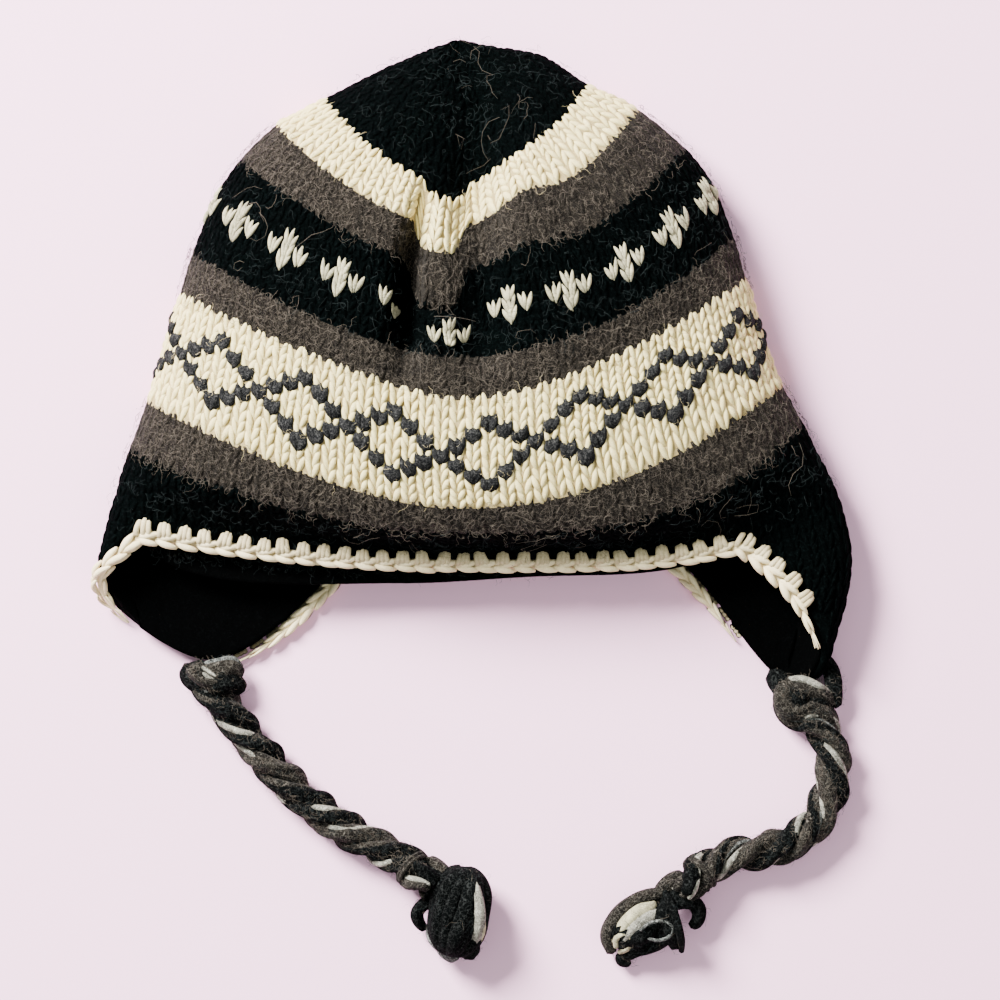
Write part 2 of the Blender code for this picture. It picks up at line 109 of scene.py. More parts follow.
FOLDS = (
    # x0, y0, x1, y1, half width, sink at 0, sink at 1
    (0.003, 0.455, -0.003, 0.232, 0.034, 0.06, 0.26),
    (-0.003, 0.232, 0.014, 0.03, 0.032, 0.26, 0.2),
    (-0.068, 0.262, -0.088, 0.174, 0.013, 0.12, 0.3),
    (-0.088, 0.174, -0.093, 0.082, 0.015, 0.3, 0.38),
    (-0.093, 0.082, -0.099, -0.04, 0.018, 0.38, 0.05),
    (-0.043, 0.255, -0.056, 0.12, 0.026, -0.03, -0.085),
    (-0.074, 0.123, -0.036, 0.123, 0.009, 0.26, 0.22),
    (-0.011, 0.262, -0.02, 0.13, 0.008, 0.18, 0.11),
)
RIDGE = (
    # how high a place is, the slipped ridge's middle and half its width there, and its slip down
    (0.0, -0.044, 0.048, 0.0),
    (0.018, -0.044, 0.048, 0.003),
    (0.062, -0.044, 0.048, 0.036),
    (0.105, -0.046, 0.044, 0.038),
    (0.143, -0.057, 0.034, 0.063),
    (0.204, -0.053, 0.032, 0.04),
    (0.275, -0.041, 0.028, 0.021),
    (0.36, -0.041, 0.028, 0.0),
)
RIDGE_SIDES = 8  # how steep the slipped ridge's sides are
# the bands right of the ridge are drawn up: a bell's middle across and up, half its width and
# height, and how far it lifts
DRAWN_UP = (0.06, 0.21, 0.05, 0.105, 0.032)
LIP = ((-0.47, 0.0), (-0.41, 0.046), (-0.1, 0.062), (0.06, 0.046), (0.3, 0.028), (0.38, 0.0))
LIP_SAG = 0.0008
TIE_LEFT = ((-0.335, -0.528), (-0.316, -0.562), (-0.287, -0.6), (-0.255, -0.643),
            (-0.226, -0.673), (-0.188, -0.706), (-0.134, -0.742), (-0.096, -0.766),
            (-0.076, -0.789))
TIE_RIGHT = ((0.452, -0.545), (0.467, -0.574), (0.474, -0.608), (0.473, -0.642), (0.465, -0.674),
             (0.449, -0.705), (0.424, -0.73), (0.388, -0.745), (0.345, -0.753), (0.306, -0.771),
             (0.283, -0.794))
EDGING_RUNS = {"edging_front": (-0.56, 0.475), "edging_back": (0.64, 1.31)}

# The knitting, from the flaps up: each band's two ends in t, rows, stitches in a round and yarn
BANDS = (
    (-0.2933, 0.0, 16, 90, "black"),  # the flaps
    (0.0, 0.11, 6, 90, "black"),
    (0.11, 0.178, 4, 90, "brown"),
    (0.178, 0.384, 11, 90, "cream"),
    (0.384, 0.452, 4, 86, "brown"),
    (0.452, 0.603, 9, 84, "black"),
    (0.603, 0.671, 4, 74, "brown"),
    (0.671, 0.753, 5, 60, "cream"),
    (0.753, 0.815, 4, 46, "black"),
    (0.815, 0.877, 4, 34, "black"),
    (0.877, 0.925, 3, 24, "black"),
    (0.925, 0.965, 3, 14, "black"),
    (0.965, 0.993, 2, 6, "black"),
)
DIAMOND_BAND, STAR_BAND = 3, 5
STAR_BAND_SHIFT = -0.35  # how many stitches that band is turned by
DIAMOND_REPEAT, DIAMOND_FIRST_ROW, DIAMOND_SHIFT = 6, 2, 5
STAR_REPEAT, STAR_MIDDLE_ROW = 4, 4


def unit(vectors):
    return vectors / np.maximum(np.linalg.norm(vectors, axis=-1, keepdims=True), 1e-12)


def lengths(line):
    """How far along a line of points each of them is."""
    return np.concatenate([[0], np.cumsum(np.linalg.norm(np.diff(line, axis=0), axis=1))])


def smooth(xs, ys, x):
    """A curve through the points (xs, ys), with the slopes of its neighbours, read at x."""
    xs, ys = np.asarray(xs, float), np.asarray(ys, float)
    slope = np.gradient(ys, xs)
    x = np.clip(x, xs[0], xs[-1])
    i = np.clip(np.searchsorted(xs, x, side="right") - 1, 0, len(xs) - 2)
    h = xs[i + 1] - xs[i]
    s = (x - xs[i]) / h
    return (
        ys[i] * (1 + 2 * s) * (1 - s) ** 2
        + slope[i] * h * s * (1 - s) ** 2
        + ys[i + 1] * s**2 * (3 - 2 * s)
        + slope[i + 1] * h * s**2 * (s - 1)
    )


def through(points, far):
    """Places on a smooth curve through the points, at these distances along it."""
    steps = lengths(points)
    return np.stack([smooth(steps, column, far) for column in points.T], -1)


def section(name, t):
    """One column of SECTIONS at t, in metres where it is a length."""
    share = {"x": HAT_WIDTH, "y": HAT_LENGTH}.get(name[-1], 1.0)
    if name in ("top", "under"):
        share = HAT_RISE
    table = np.array(SECTIONS)
    values = table[:, SECTION_COLUMNS.index(name)] * share
    if name == "flat":
        return np.interp(t, table[:, 0], values)
    return smooth(table[:, 0], values, t)


def tube(psi, t):
    """The outside without its creases: each section is a flattened ring, flat below and bowed
    above, whose two ends are the side folds and whose rows sag between them."""
    u, up = np.sin(psi), np.cos(psi)
    left, right = section("left_x", t), section("right_x", t)
    middle = MIDDLE_X * HAT_WIDTH
    x = np.where(u > 0, middle + (right - middle) * u, middle + (middle - left) * u)
    side = np.where(u > 0, section("right_y", t), section("left_y", t))
    bend = np.where(u > 0, section("right_bend", t), section("left_bend", t))
    away = np.sqrt(u**2 + 0.004) - np.sqrt(0.004) * (1 - u**2)
    front, back = section("front_y", t), section("back_y", t)
    y = np.where(
        up > 0,
        front + (side - front) * np.clip(away, 0, 1) ** bend,
        back + (side - back) * np.abs(u) ** BACK_BEND,
    )
    fold = FOLD_RISE + (section("top", 1.0) - FOLD_RISE) * np.clip((t - 0.9) / 0.1, 0, 1)
    over = np.sqrt(np.clip(1 - np.abs(u) ** section("flat", t), 0, 1))
    below = np.sqrt(np.clip(1 - np.abs(u) ** BACK_FLAT, 0, 1))
    top = np.maximum(section("top", t), fold)
    z = np.where(
        up > 0, fold + (top - fold) * over, fold - (fold - section("under", t)) * below
    )
    return np.stack([x, y, np.maximum(z, 0.0)], -1)


def creases(place, psi, spread):
    """How far the creases and the slipped ridge move a place: each is a bell across its line."""
    x, y = place[..., 0], place[..., 1]
    sink = np.zeros_like(x)
    for x0, y0, x1, y1, half, sink0, sink1 in FOLDS:
        a = np.array([x0 * HAT_WIDTH, y0 * HAT_LENGTH])
        d = np.array([x1 * HAT_WIDTH, y1 * HAT_LENGTH]) - a
        along = np.clip(((x - a[0]) * d[0] + (y - a[1]) * d[1]) / (d @ d), 0, 1)
        off = np.hypot(x - a[0] - along * d[0], y - a[1] - along * d[1])
        wide = half * HAT_WIDTH + (spread if sink0 + sink1 > 0 else -0.3 * spread)
        bell = (sink0 + (sink1 - sink0) * along) * HAT_RISE * np.exp(-((off / wide) ** 2))
        sink = np.maximum(sink, bell) if sink0 + sink1 > 0 else sink + bell
    table = np.array(RIDGE)
    middle, half, slip = (np.interp(y / HAT_LENGTH, table[:, 0], table[:, k]) for k in (1, 2, 3))
    away = np.abs((x / HAT_WIDTH - middle) / half)
    slip = slip * HAT_LENGTH * np.exp(-(np.minimum(away, 4.0) ** RIDGE_SIDES))
    across, up, half_x, half_y, lifted = DRAWN_UP
    far = ((x / HAT_WIDTH - across) / half_x) ** 2 + ((y / HAT_LENGTH - up) / half_y) ** 2
    slip = slip - lifted * HAT_LENGTH * np.exp(-far)
    upper = np.clip(np.cos(psi) / 0.3, 0, 1)
    upper = upper**2 * (3 - 2 * upper)
    return np.stack([np.zeros_like(x), -slip * upper, -sink * upper], -1)


def ways_round():
    """A table of the angle psi for even steps of phi, measured along the creased outside."""
    ts = np.linspace(SECTIONS[0][0], 1.0, 66)
    ts[-1] = 0.9995
    phis = np.linspace(-1, 1, 401)
    found = np.zeros((len(ts), len(phis)))
    quarter = np.pi / 2
    for psi0, psi1, steps, phi0, phi1 in (
        (-np.pi, -quarter, 181, -1, -0.5),
        (-quarter, quarter, 361, -0.5, 0.5),
        (quarter, np.pi, 181, 0.5, 1),
    ):
        psi = np.linspace(psi0, psi1, steps)
        grid_psi, grid_t = np.meshgrid(psi, ts)
        place = tube(grid_psi, grid_t)
        place = place + 0.3 * creases(place, grid_psi, 0.0)
        step = np.linalg.norm(np.diff(place, axis=1), axis=2)
        far = np.concatenate([np.zeros((len(ts), 1)), np.cumsum(step, axis=1)], axis=1)
        far /= far[:, -1:]
        here = (phis >= phi0 - 1e-9) & (phis <= phi1 + 1e-9)
        for row in range(len(ts)):
            found[row, here] = np.interp((phis[here] - phi0) / (phi1 - phi0), far[row], psi)
    return ts, phis, found


TABLE_T, TABLE_PHI, TABLE_PSI = ways_round()


def angle(phi, t):
    """The angle psi at phi and t, read between the rows of the table."""
    phi = np.clip(phi, -1, 1)
    i = np.clip(np.searchsorted(TABLE_T, t) - 1, 0, len(TABLE_T) - 2)
    j = np.clip(np.searchsorted(TABLE_PHI, phi) - 1, 0, len(TABLE_PHI) - 2)
    a = np.clip((t - TABLE_T[i]) / (TABLE_T[i + 1] - TABLE_T[i]), 0, 1)
    b = (phi - TABLE_PHI[j]) / (TABLE_PHI[j + 1] - TABLE_PHI[j])
    low = TABLE_PSI[i, j] * (1 - b) + TABLE_PSI[i, j + 1] * b
    high = TABLE_PSI[i + 1, j] * (1 - b) + TABLE_PSI[i + 1, j + 1] * b
    return low * (1 - a) + high * a


def turned(phi):
    """phi brought back between -1 and 1."""
    return (np.asarray(phi, float) + 1) % 2 - 1


def outward(psi, t):
    """The direction out of the wall, of length 1, without the creases."""
    small = 0.004
    across = tube(psi + small, t) - tube(psi - small, t)
    up = tube(psi, np.minimum(t + small, 1)) - tube(psi, t - small)
    return unit(np.cross(across, up))


def hat(phi, t, depth=0.0):
    """A place in the wall, that depth inside its outer face, in the solids' own raw place."""
    phi, t, depth = np.broadcast_arrays(turned(phi), np.asarray(t, float), depth)
    psi = angle(phi, t)
    place = tube(psi, t)
    shift = creases(place, psi, 0.6 * np.maximum(depth, 0))
    return place - outward(psi, t) * depth[..., None] + shift


def rim(phi):
    """The t of the knitting's edge: 0 at the rim, and down round each flap."""
    phi = turned(phi)
    edge = np.zeros_like(phi)
    for middle in FLAP_PLACES:
        c = np.abs(turned(phi - middle)) / FLAP_HALF
        reach = 1 - ((c**2 + 0.01) ** 0.8 - 0.01**0.8)
        reach = (reach + np.sqrt(reach**2 + 0.006)) / 2
        edge = edge - FLAP_DROP * np.where(c < 1.35, reach * np.clip((1.35 - c) / 0.35, 0, 1), 0)
    return edge


# The raw surface is brought to the frame by the knitted body's box.
raw_phi, raw_t = np.meshgrid(np.linspace(-1, 1, 801), np.linspace(0, 1, 161))
raw = hat(raw_phi, rim(raw_phi) * (1 - raw_t) + raw_t * 0.999)
knit_low, knit_high = (np.array(corner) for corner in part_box("knit_body"))
SHIFT = (knit_low + knit_high) / 2 - (raw.reshape(-1, 3).min(0) + raw.reshape(-1, 3).max(0)) / 2
SHIFT[2] = 0.0


def on_hat(phi, t, depth=0.0):
    """A place in the wall, in the frame."""
    return hat(phi, t, depth) + SHIFT


# Camera and light
camera_data = bpy.data.cameras.new("camera")
camera = bpy.data.objects.new("camera", camera_data)
bpy.context.collection.objects.link(camera)
CAMERA_HEIGHT = 2.6
FRAMED = 0.4  # what the picture shows across, at the height of the hat's folds
camera.location = (0.0088 + SHIFT[0], -0.0546 + SHIFT[1], CAMERA_HEIGHT)
camera_data.sensor_width = 36.0
camera_data.lens = 36.0 * (CAMERA_HEIGHT - 0.013) / FRAMED
camera_data.clip_end = 20.0
bpy.context.scene.camera = camera


def area_light(name, place, aim, size, power, colour):
    data = bpy.data.lights.new(name, "AREA")
    data.size, data.energy, data.color = size, power, colour
    light = bpy.data.objects.new(name, data)
    light.location = place
    light.rotation_euler = (Vector(aim) - Vector(place)).to_track_quat("-Z", "Y").to_euler()
    bpy.context.collection.objects.link(light)
    return light


area_light("key", (-1.2, 1.2, 1.3), (0.0, -0.03, 0.0), 0.85, 350.0, (1.0, 0.99, 0.975))
area_light("fill", (0.9, -0.9, 1.4), (0.0, -0.03, 0.0), 1.6, 13.0, (0.98, 0.97, 1.0))
world = bpy.data.worlds.new("studio")
world.use_nodes = True
world.node_tree.nodes["Background"].inputs["Color"].default_value = (0.9, 0.98, 0.92, 1)
world.node_tree.nodes["Background"].inputs["Strength"].default_value = 0.66
bpy.context.scene.world = world


# Materials
def node(tree, kind, link=None, **settings):
    """A node with its settings, its inputs set by name or number, and links to them."""
    made = tree.nodes.new(kind)
    for key, value in settings.items():
        setattr(made, key, value)
    for key, value in (link or {}).items():
        if isinstance(value, bpy.types.NodeSocket):
            tree.links.new(value, made.inputs[key])
        else:
            made.inputs[key].default_value = value
    return made


def maths(tree, operation, a, b=0.0):
    return node(tree, "ShaderNodeMath", {0: a, 1: b}, operation=operation).outputs[0]


FLOAT, COLOUR = "NodeSocketFloat", "NodeSocketColor"


def curly(tree, place, scale, width, seed):
    """Thin curly lines: where a noise, read at a shifted place, is near a half."""
    shift = {0: place, 1: (seed, 2.3 * seed, -seed)}
    moved = node(tree, "ShaderNodeVectorMath", shift, operation="ADD").outputs[0]
    bend = node(tree, "ShaderNodeTexNoise", {"Vector": moved, "Scale": scale, "Detail": 1.0})
    off = maths(tree, "ABSOLUTE", maths(tree, "SUBTRACT", bend.outputs[0], 0.5))
    limits = {0: off, 1: 0.0, 2: width, 3: 1.0, 4: 0.0}
    return node(tree, "ShaderNodeMapRange", limits, interpolation_type="SMOOTHSTEP").outputs[0]


wool = bpy.data.node_groups.new("wool_fibres", "ShaderNodeTree")
WOOL_SOCKETS = (
    ("Base", COLOUR, (0.5, 0.5, 0.5, 1)), ("Shade", COLOUR, (0.1, 0.1, 0.1, 1)),
    ("Fibre", COLOUR, (0.8, 0.8, 0.8, 1)), ("Shade Amount", FLOAT, 0.5),
    ("Fibre Amount", FLOAT, 0.5), ("Fibre Scale", FLOAT, 520.0),
)
for label, kind, value in WOOL_SOCKETS:
    socket = wool.interface.new_socket(label, in_out="INPUT", socket_type=kind)
    socket.default_value = value
for label, kind in (("Color", COLOUR), ("Height", FLOAT)):
    wool.interface.new_socket(label, in_out="OUTPUT", socket_type=kind)
given = wool.nodes.new("NodeGroupInput").outputs
wool_out = wool.nodes.new("NodeGroupOutput")


def noise(size, detail):
    settings = {"Vector": coords, "Scale": size, "Detail": detail}
    return node(wool, "ShaderNodeTexNoise", settings).outputs[0]


def mixed(amount, one, other):
    settings = {0: amount, 6: one, 7: other}
    return node(wool, "ShaderNodeMix", settings, data_type="RGBA").outputs[2]


coords = node(wool, "ShaderNodeTexCoord").outputs["Object"]
scale = given["Fibre Scale"]
light_one = curly(wool, coords, scale, 0.028, 0.0)
light_two = curly(wool, coords, maths(wool, "MULTIPLY", scale, 1.6), 0.034, 0.37)
dark_one = curly(wool, coords, maths(wool, "MULTIPLY", scale, 1.2), 0.06, 0.81)
patchy = node(wool, "ShaderNodeMapRange", {0: noise(190.0, 3.0), 1: 0.36, 2: 0.64}).outputs[0]
shade = maths(wool, "MULTIPLY", maths(wool, "MAXIMUM", dark_one, patchy), given["Shade Amount"])
toned = mixed(shade, given["Base"], given["Shade"])
lines = maths(wool, "MAXIMUM", light_one, light_two)
lines = maths(wool, "MULTIPLY", lines, given["Fibre Amount"])
wool.links.new(mixed(lines, toned, given["Fibre"]), wool_out.inputs["Color"])
lines = maths(wool, "MULTIPLY", lines, 0.7)
rise = maths(wool, "ADD", lines, maths(wool, "MULTIPLY", noise(2600.0, 2.0), 0.6))
wool.links.new(rise, wool_out.inputs["Height"])

# the base, shade and fibre colours, then the amounts of shade and fibre, the fibres' scale, the
# bump's strength, the specular level and the sheen
WOOLS = {
    "cream": (0.71, 0.6, 0.275, 0.48, 0.38, 0.15, 0.88, 0.8, 0.46, 0.45, 0.5, 700, 0.5, 0.1, 0.05),
    "star": (0.44, 0.4, 0.25, 0.12, 0.11, 0.07, 0.72, 0.67, 0.46, 0.7, 0.5, 700, 0.6, 0.05, 0.03),
    "light": (0.27, 0.26, 0.21, 0.03, 0.029, 0.025, 0.58, 0.56, 0.48, 0.8, 0.7, 480, 0.8, 0.05,
        0.02),
    "tie_black": (0.0011, 0.0015, 0.0015, 0.0004, 0.0005, 0.0005, 0.022, 0.024, 0.023, 0.6, 0.75,
        420, 0.8, 0.02, 0),
    "tie_brown": (0.015, 0.0128, 0.01, 0.0025, 0.0021, 0.0017, 0.095, 0.085, 0.07, 0.9, 0.85, 420,
        0.9, 0.04, 0.02),
    # a darker copy of cream, for the wall behind the cream stitches: painted shade in the gaps
    # between them
    "cream_painted_shade": (0.34, 0.26, 0.115, 0.2, 0.15, 0.06, 0.55, 0.46, 0.26, 0.5, 0.4, 700, 0.4, 0.05,
        0),
    "trim": (0.79, 0.67, 0.41, 0.5, 0.4, 0.21, 0.92, 0.83, 0.58, 0.45, 0.45, 700, 0.5, 0.08, 0.03),
    # a darker copy of trim, for the edging's teeth: painted shade
    "tooth_painted_shade": (0.55, 0.46, 0.27, 0.33, 0.26, 0.14, 0.78, 0.7, 0.46, 0.5, 0.45, 700, 0.6, 0.05, 0.02),
    "brown": (0.0108, 0.0087, 0.0064, 0.0033, 0.0026, 0.0019, 0.06, 0.049, 0.037, 0.85, 0.75, 520,
        0.8, 0.05, 0.02),
    "grey": (0.05, 0.053, 0.05, 0.01, 0.011, 0.01, 0.28, 0.29, 0.27, 0.7, 0.8, 480, 0.6, 0.05,
        0.02),
    "black": (0.00015, 0.0005, 0.0005, 0.0001, 0.0002, 0.0002, 0.0024, 0.0044, 0.0044, 0.5, 0.55,
        520, 0.5, 0.01, 0),
    "charcoal": (0.0078, 0.008, 0.0086, 0.0026, 0.0027, 0.003, 0.07, 0.069, 0.066, 0.7, 0.75, 620,
        0.5, 0.03, 0),
    "fleece": (0.00025, 0.0003, 0.00033, 0.0001, 0.00012, 0.00013, 0.001, 0.0012, 0.0013, 0.5, 0.5,
        420, 0.5, 0.01, 0),
    "fibre_light": (0.106, 0.089, 0.071, 0.06, 0.05, 0.039, 0.19, 0.165, 0.135, 0.4, 0.2, 700, 0.1,
        0.05, 0),
    "fibre_dark": (0.003, 0.0025, 0.002, 0.0015, 0.0012, 0.001, 0.006, 0.005, 0.004, 0.4, 0.2, 700,
        0.1, 0.02, 0),
    "fibre_grey": (0.02, 0.026, 0.026, 0.01, 0.013, 0.013, 0.045, 0.052, 0.052, 0.4, 0.2, 700, 0.1,
        0.02, 0),
    "fibre_cream": (0.7, 0.59, 0.34, 0.55, 0.43, 0.22, 0.86, 0.76, 0.5, 0.3, 0.2, 700, 0.1, 0.05,
        0),
}


def wool_material(name, row):
    """A material of the wool group, from its row of WOOLS."""
    colours = np.reshape(row[:9], (3, 3)).tolist()
    *amounts, bump, specular, sheen = row[9:]
    material = bpy.data.materials.new("wool_" + name)
    material.use_nodes = True
    tree = material.node_tree
    shader = tree.nodes["Principled BSDF"]
    for label, value in (
        ("Roughness", 0.92), ("Specular IOR Level", specular), ("Sheen Weight", sheen),
        ("Sheen Roughness", 0.6),
    ):
        shader.inputs[label].default_value = value
    fibres = tree.nodes.new("ShaderNodeGroup")
    fibres.node_tree = wool
    values = (*((*colour, 1) for colour in colours), *amounts)
    for (label, _, _), value in zip(WOOL_SOCKETS, values):
        fibres.inputs[label].default_value = value
    tree.links.new(fibres.outputs["Color"], shader.inputs["Base Color"])
    height = {"Height": fibres.outputs["Height"], "Strength": bump, "Distance": 0.0006}
    raised = node(tree, "ShaderNodeBump", height)
    tree.links.new(raised.outputs[0], shader.inputs["Normal"])
    return material


MATERIALS = {name: wool_material(name, row) for name, row in WOOLS.items()}

floor_material = bpy.data.materials.new("floor")
floor_material.use_nodes = True
floor_shader = floor_material.node_tree.nodes["Principled BSDF"]
for label, value in (
    ("Base Color", (0.98, 0.575, 0.79, 1)), ("Roughness", 0.9), ("Specular IOR Level", 0.1),
):
    floor_shader.inputs[label].default_value = value


# Meshes
HIGHEST = 0.0648  # no loose fibre stands higher


def piece(name, points, faces, materials, face_material=None):
    """A smooth object of these points and triangles, riding on the hat."""
    points = np.array(points, np.float32)
    points[:, 2] = np.clip(points[:, 2], 0.0003, HIGHEST)
    faces = np.asarray(faces, np.int32)
    mesh = bpy.data.meshes.new(name)
    mesh.vertices.add(len(points))
    mesh.vertices.foreach_set("co", points.ravel())
    mesh.loops.add(faces.size)
    mesh.loops.foreach_set("vertex_index", faces.ravel())
    mesh.polygons.add(len(faces))
    mesh.polygons.foreach_set("loop_start", np.arange(0, faces.size, 3, dtype=np.int32))
    mesh.polygons.foreach_set("loop_total", np.full(len(faces), 3, np.int32))
    for key in materials:
        mesh.materials.append(MATERIALS[key])
    if face_material is not None:
        mesh.polygons.foreach_set("material_index", np.asarray(face_material, np.int32))
    mesh.update(calc_edges=True)
    mesh.shade_smooth()
    thing = bpy.data.objects.new(name, mesh)
    bpy.context.collection.objects.link(thing)
    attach(thing, "root")
    return thing


def tube_faces(rings, sides):
    """Triangles of a closed tube: its rings of points, then a point at each end."""
    faces = []
    for i in range(rings - 1):
        for k in range(sides):
            a, b = i * sides + k, i * sides + (k + 1) % sides
            faces += [(a, b, b + sides), (a, b + sides, a + sides)]
    first, last = rings * sides, (rings - 1) * sides
    for k in range(sides):
        faces += [((k + 1) % sides, k, first), (last + k, last + (k + 1) % sides, first + 1)]
    return np.array(faces)


def tubes(lines, radius, sides, up=None, groove=(0.0, 0, 0.0)):
    """Points and triangles of tubes along lines (count, rings, 3): a ring of each radius is set
    square to the line at each of its points, carried along it without twisting, and the two ends
    are closed by a point. groove is the depth, number and turns of the grooves along them."""
    lines = np.asarray(lines, float)
    count, rings, _ = lines.shape
    tangent = unit(np.gradient(lines, axis=1))
    if up is None:
        up = np.broadcast_to([0.0, 0.0, 1.0], lines.shape)
    up = up - (up * tangent).sum(-1, keepdims=True) * tangent
    size = np.linalg.norm(up, axis=-1, keepdims=True)
    spare = unit(np.cross(tangent, [0.61, 0.35, 0.71]))
    up = np.where(size > 0.05, up / np.maximum(size, 1e-9), spare)
    side = np.cross(up, tangent)
    radius = np.broadcast_to(np.asarray(radius, float), lines.shape[:2])[..., None, None]
    turn = np.arange(sides) * 2 * np.pi / sides
    deep, number, twist = groove
    s = np.linspace(0, 1, rings)[:, None]
    lobed = (1 + deep * np.cos(number * turn + 2 * np.pi * twist * s))[..., None]
    ring = lines[:, :, None, :] + radius * lobed * (
        side[:, :, None, :] * np.cos(turn)[:, None] + up[:, :, None, :] * np.sin(turn)[:, None]
    )
    ends = lines[:, [0, -1]] + tangent[:, [0, -1]] * radius[:, [0, -1], 0] * [[[-0.6], [0.6]]]
    points = np.concatenate([ring.reshape(count, -1, 3), ends], axis=1)
    per = points.shape[1]
    faces = tube_faces(rings, sides)[None] + (np.arange(count) * per)[:, None, None]
    return points.reshape(-1, 3), faces.reshape(-1, 3)


def joined(parts):
    """Sets of points, triangles and their material number, or numbers, as one."""
    starts = np.cumsum([0] + [len(points) for points, _, _ in parts])
    return (
        np.concatenate([points for points, _, _ in parts]),
        np.concatenate([faces + start for (_, faces, _), start in zip(parts, starts)]),
        np.concatenate([np.broadcast_to(number, len(faces)) for _, faces, number in parts]),
    )


def tie_piece(name, parts):
    """A piece of the ties' wools."""
    points, faces, numbers = joined(parts)
    return piece(name, points, faces, TIE_WOOLS.values(), numbers)


# The ties: three strands twisted along each route
def route(name, points):
    """A tie's centre line: from its flap's tip through its points, up to the knot's height."""
    middle = FLAP_PLACES[0 if name == "left" else 1]
    tip, above = hat(middle, rim(middle) + np.array([0.0, 0.03]), LAYERS / 2)[:, :2]
    plan = np.array(points) * (HAT_WIDTH, HAT_LENGTH)
    plan = np.concatenate([tip + unit(tip - above) * np.array([[0.0025], [0.008]]), plan])
    far = np.linspace(0, lengths(plan)[-1], 26)
    x, y = through(plan, far).T
    share = far / far[-1]
    swell = 1 + (TIE_HEAD - 1) * np.clip(1 - far / (1.3 * TIE_DIAMETER), 0, 1) ** 1.5
    low = TIE_DIAMETER / 2 * swell + 0.0001
    lift = np.clip((share - 0.86) / 0.14, 0, 1) ** 2 * (KNOT_HEIGHT / 2 - TIE_DIAMETER / 2)
    return np.stack([x, y, low + lift], -1) + SHIFT, swell


TWIST_STEP = 0.043  # one turn of a tie's three strands
TWIST_START = {"left": 0.3, "right": 0.55}
END_TUCK = 0.006  # how far a tie's end goes on into its knot
STRAND_YARNS = {
    # for each strand, the wool, radius in millimetres and angle of each of its yarns
    "left": (
        (("black", 3.5, None), ("black", 1.9, 80), ("brown", 1.8, 10)),
        (("brown", 3.5, None), ("brown", 1.9, 100), ("light", 1.3, 25)),
        (("black", 3.5, None), ("black", 1.8, 110), ("light", 1.4, 40)),
    ),
    "right": (
        (("brown", 3.5, None), ("brown", 1.9, 80), ("light", 1.5, 150)),
        (("black", 3.4, None), ("black", 1.8, 90), ("light", 1.6, 30)),
        (("brown", 3.5, None), ("brown", 1.9, 110), ("black", 1.9, 50), ("grey", 1.2, 10)),
    ),
}
TIE_WOOLS = {  # each wool of the ties and knots, and its material
    "black": "tie_black", "brown": "tie_brown", "cream": "star", "grey": "grey",
    "fibre_light": "fibre_light", "fibre_grey": "fibre_grey", "light": "light",
}
TIE_NUMBERS = {name: number for number, name in enumerate(TIE_WOOLS)}
STRAND_RADIUS, STRAND_AWAY = 0.0035, 0.0036  # a strand, and its distance from the tie's middle
TIE_RINGS = 140


def around(angle_round, side, up):
    """The directions at these angles round a line, of which 0 is side and a quarter turn up."""
    return side * np.cos(angle_round)[:, None] + up * np.sin(angle_round)[:, None]


def rope(name, points):
    """A tie: three thick strands twisted round its centre line, each with thinner yarns laid along
    its outer side, and loose fibres."""
    line, swell = route(name, points)
    steps = lengths(line)
    length = steps[-1]
    far = np.linspace(0.0, length, TIE_RINGS)
    centre = through(line, far)
    onward = unit(centre[-1] - centre[-4])
    extra = np.linspace(0, END_TUCK, 8)[1:]
    centre = np.concatenate([centre, centre[-1] + onward * extra[:, None]])
    far = np.concatenate([far, length + extra])
    wide = 1 + 0.45 * (np.interp(far, steps, swell) - 1)
    wide *= np.clip(1.02 - (far - length) / END_TUCK * 0.45, 0, 1)
    wide *= 1 + 0.05 * np.sin(far * 190 + len(name)) + 0.03 * np.sin(far * 433)
    along = unit(np.gradient(centre, axis=0))
    side = unit(np.cross([0, 0, 1.0], along))
    up = np.cross(along, side)
    parts, cores = [], []
    for strand, yarns in enumerate(STRAND_YARNS[name]):
        way = -2 * np.pi * (far / TWIST_STEP + TWIST_START[name] + strand / 3)
        way += 0.25 * np.sin(far * 120 + 2 * strand)
        middle = centre + around(way, side, up) * (STRAND_AWAY * wide[:, None])
        cores.append((middle, way))
        for number, (colour, size, place) in enumerate(yarns):
            path, thick = middle, size / 1000 * wide
            if place is not None:
                # 90 is the strand's outer side, 0 and 180 its edges
                turn = way + np.radians(place - 90) + 0.35 * np.sin(far * 150 + 3 * number)
                sunk = 0.55 * thick
                if colour == "light":  # pale yarns come and go
                    sunk = sunk + 0.0013 * np.clip(np.sin(far * 230 + 2.4 * strand), 0, 1)
                path = middle + around(turn, side, up) * (STRAND_RADIUS - sunk)[:, None]
            thick = thick * (1 + 0.08 * np.sin(far * 410 + 1.7 * number + 2.2 * strand))
            sides = 10 if place is None else 7
            made = tubes(path[None], thick[None], sides, up[None], (0.07, 4, 7.0))
            parts.append((*made, TIE_NUMBERS[colour]))
    draws = np.random.default_rng(len(name))
    middles, ways = (np.array(column) for column in zip(*cores))
    for colour, count, radius in (("fibre_light", 1800, 0.000065), ("fibre_grey", 1300, 0.000062)):
        pick, strand = draws.integers(0, TIE_RINGS - 2, count), draws.integers(0, 3, count)
        a = ways[strand, pick] + draws.uniform(-1.3, 1.3, count)
        out = around(a, side[pick], up[pick])
        places = middles[strand, pick] + out * STRAND_RADIUS
        seen = (out[:, 2] > 0.0) & (np.abs(centre[pick] - places).max(1) < 0.0074)
        pick, out, places = pick[seen], out[seen], places[seen]
        made = fibres(
            places, np.cross(out, along[pick]), along[pick], out, 0.0038, 1.8, 0.0006, radius,
            70 + len(name),
        )
        parts.append((*made, TIE_NUMBERS[colour]))
    thing = tie_piece("braid_" + name, parts)
    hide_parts("tie_" + name)
    return thing, line, length


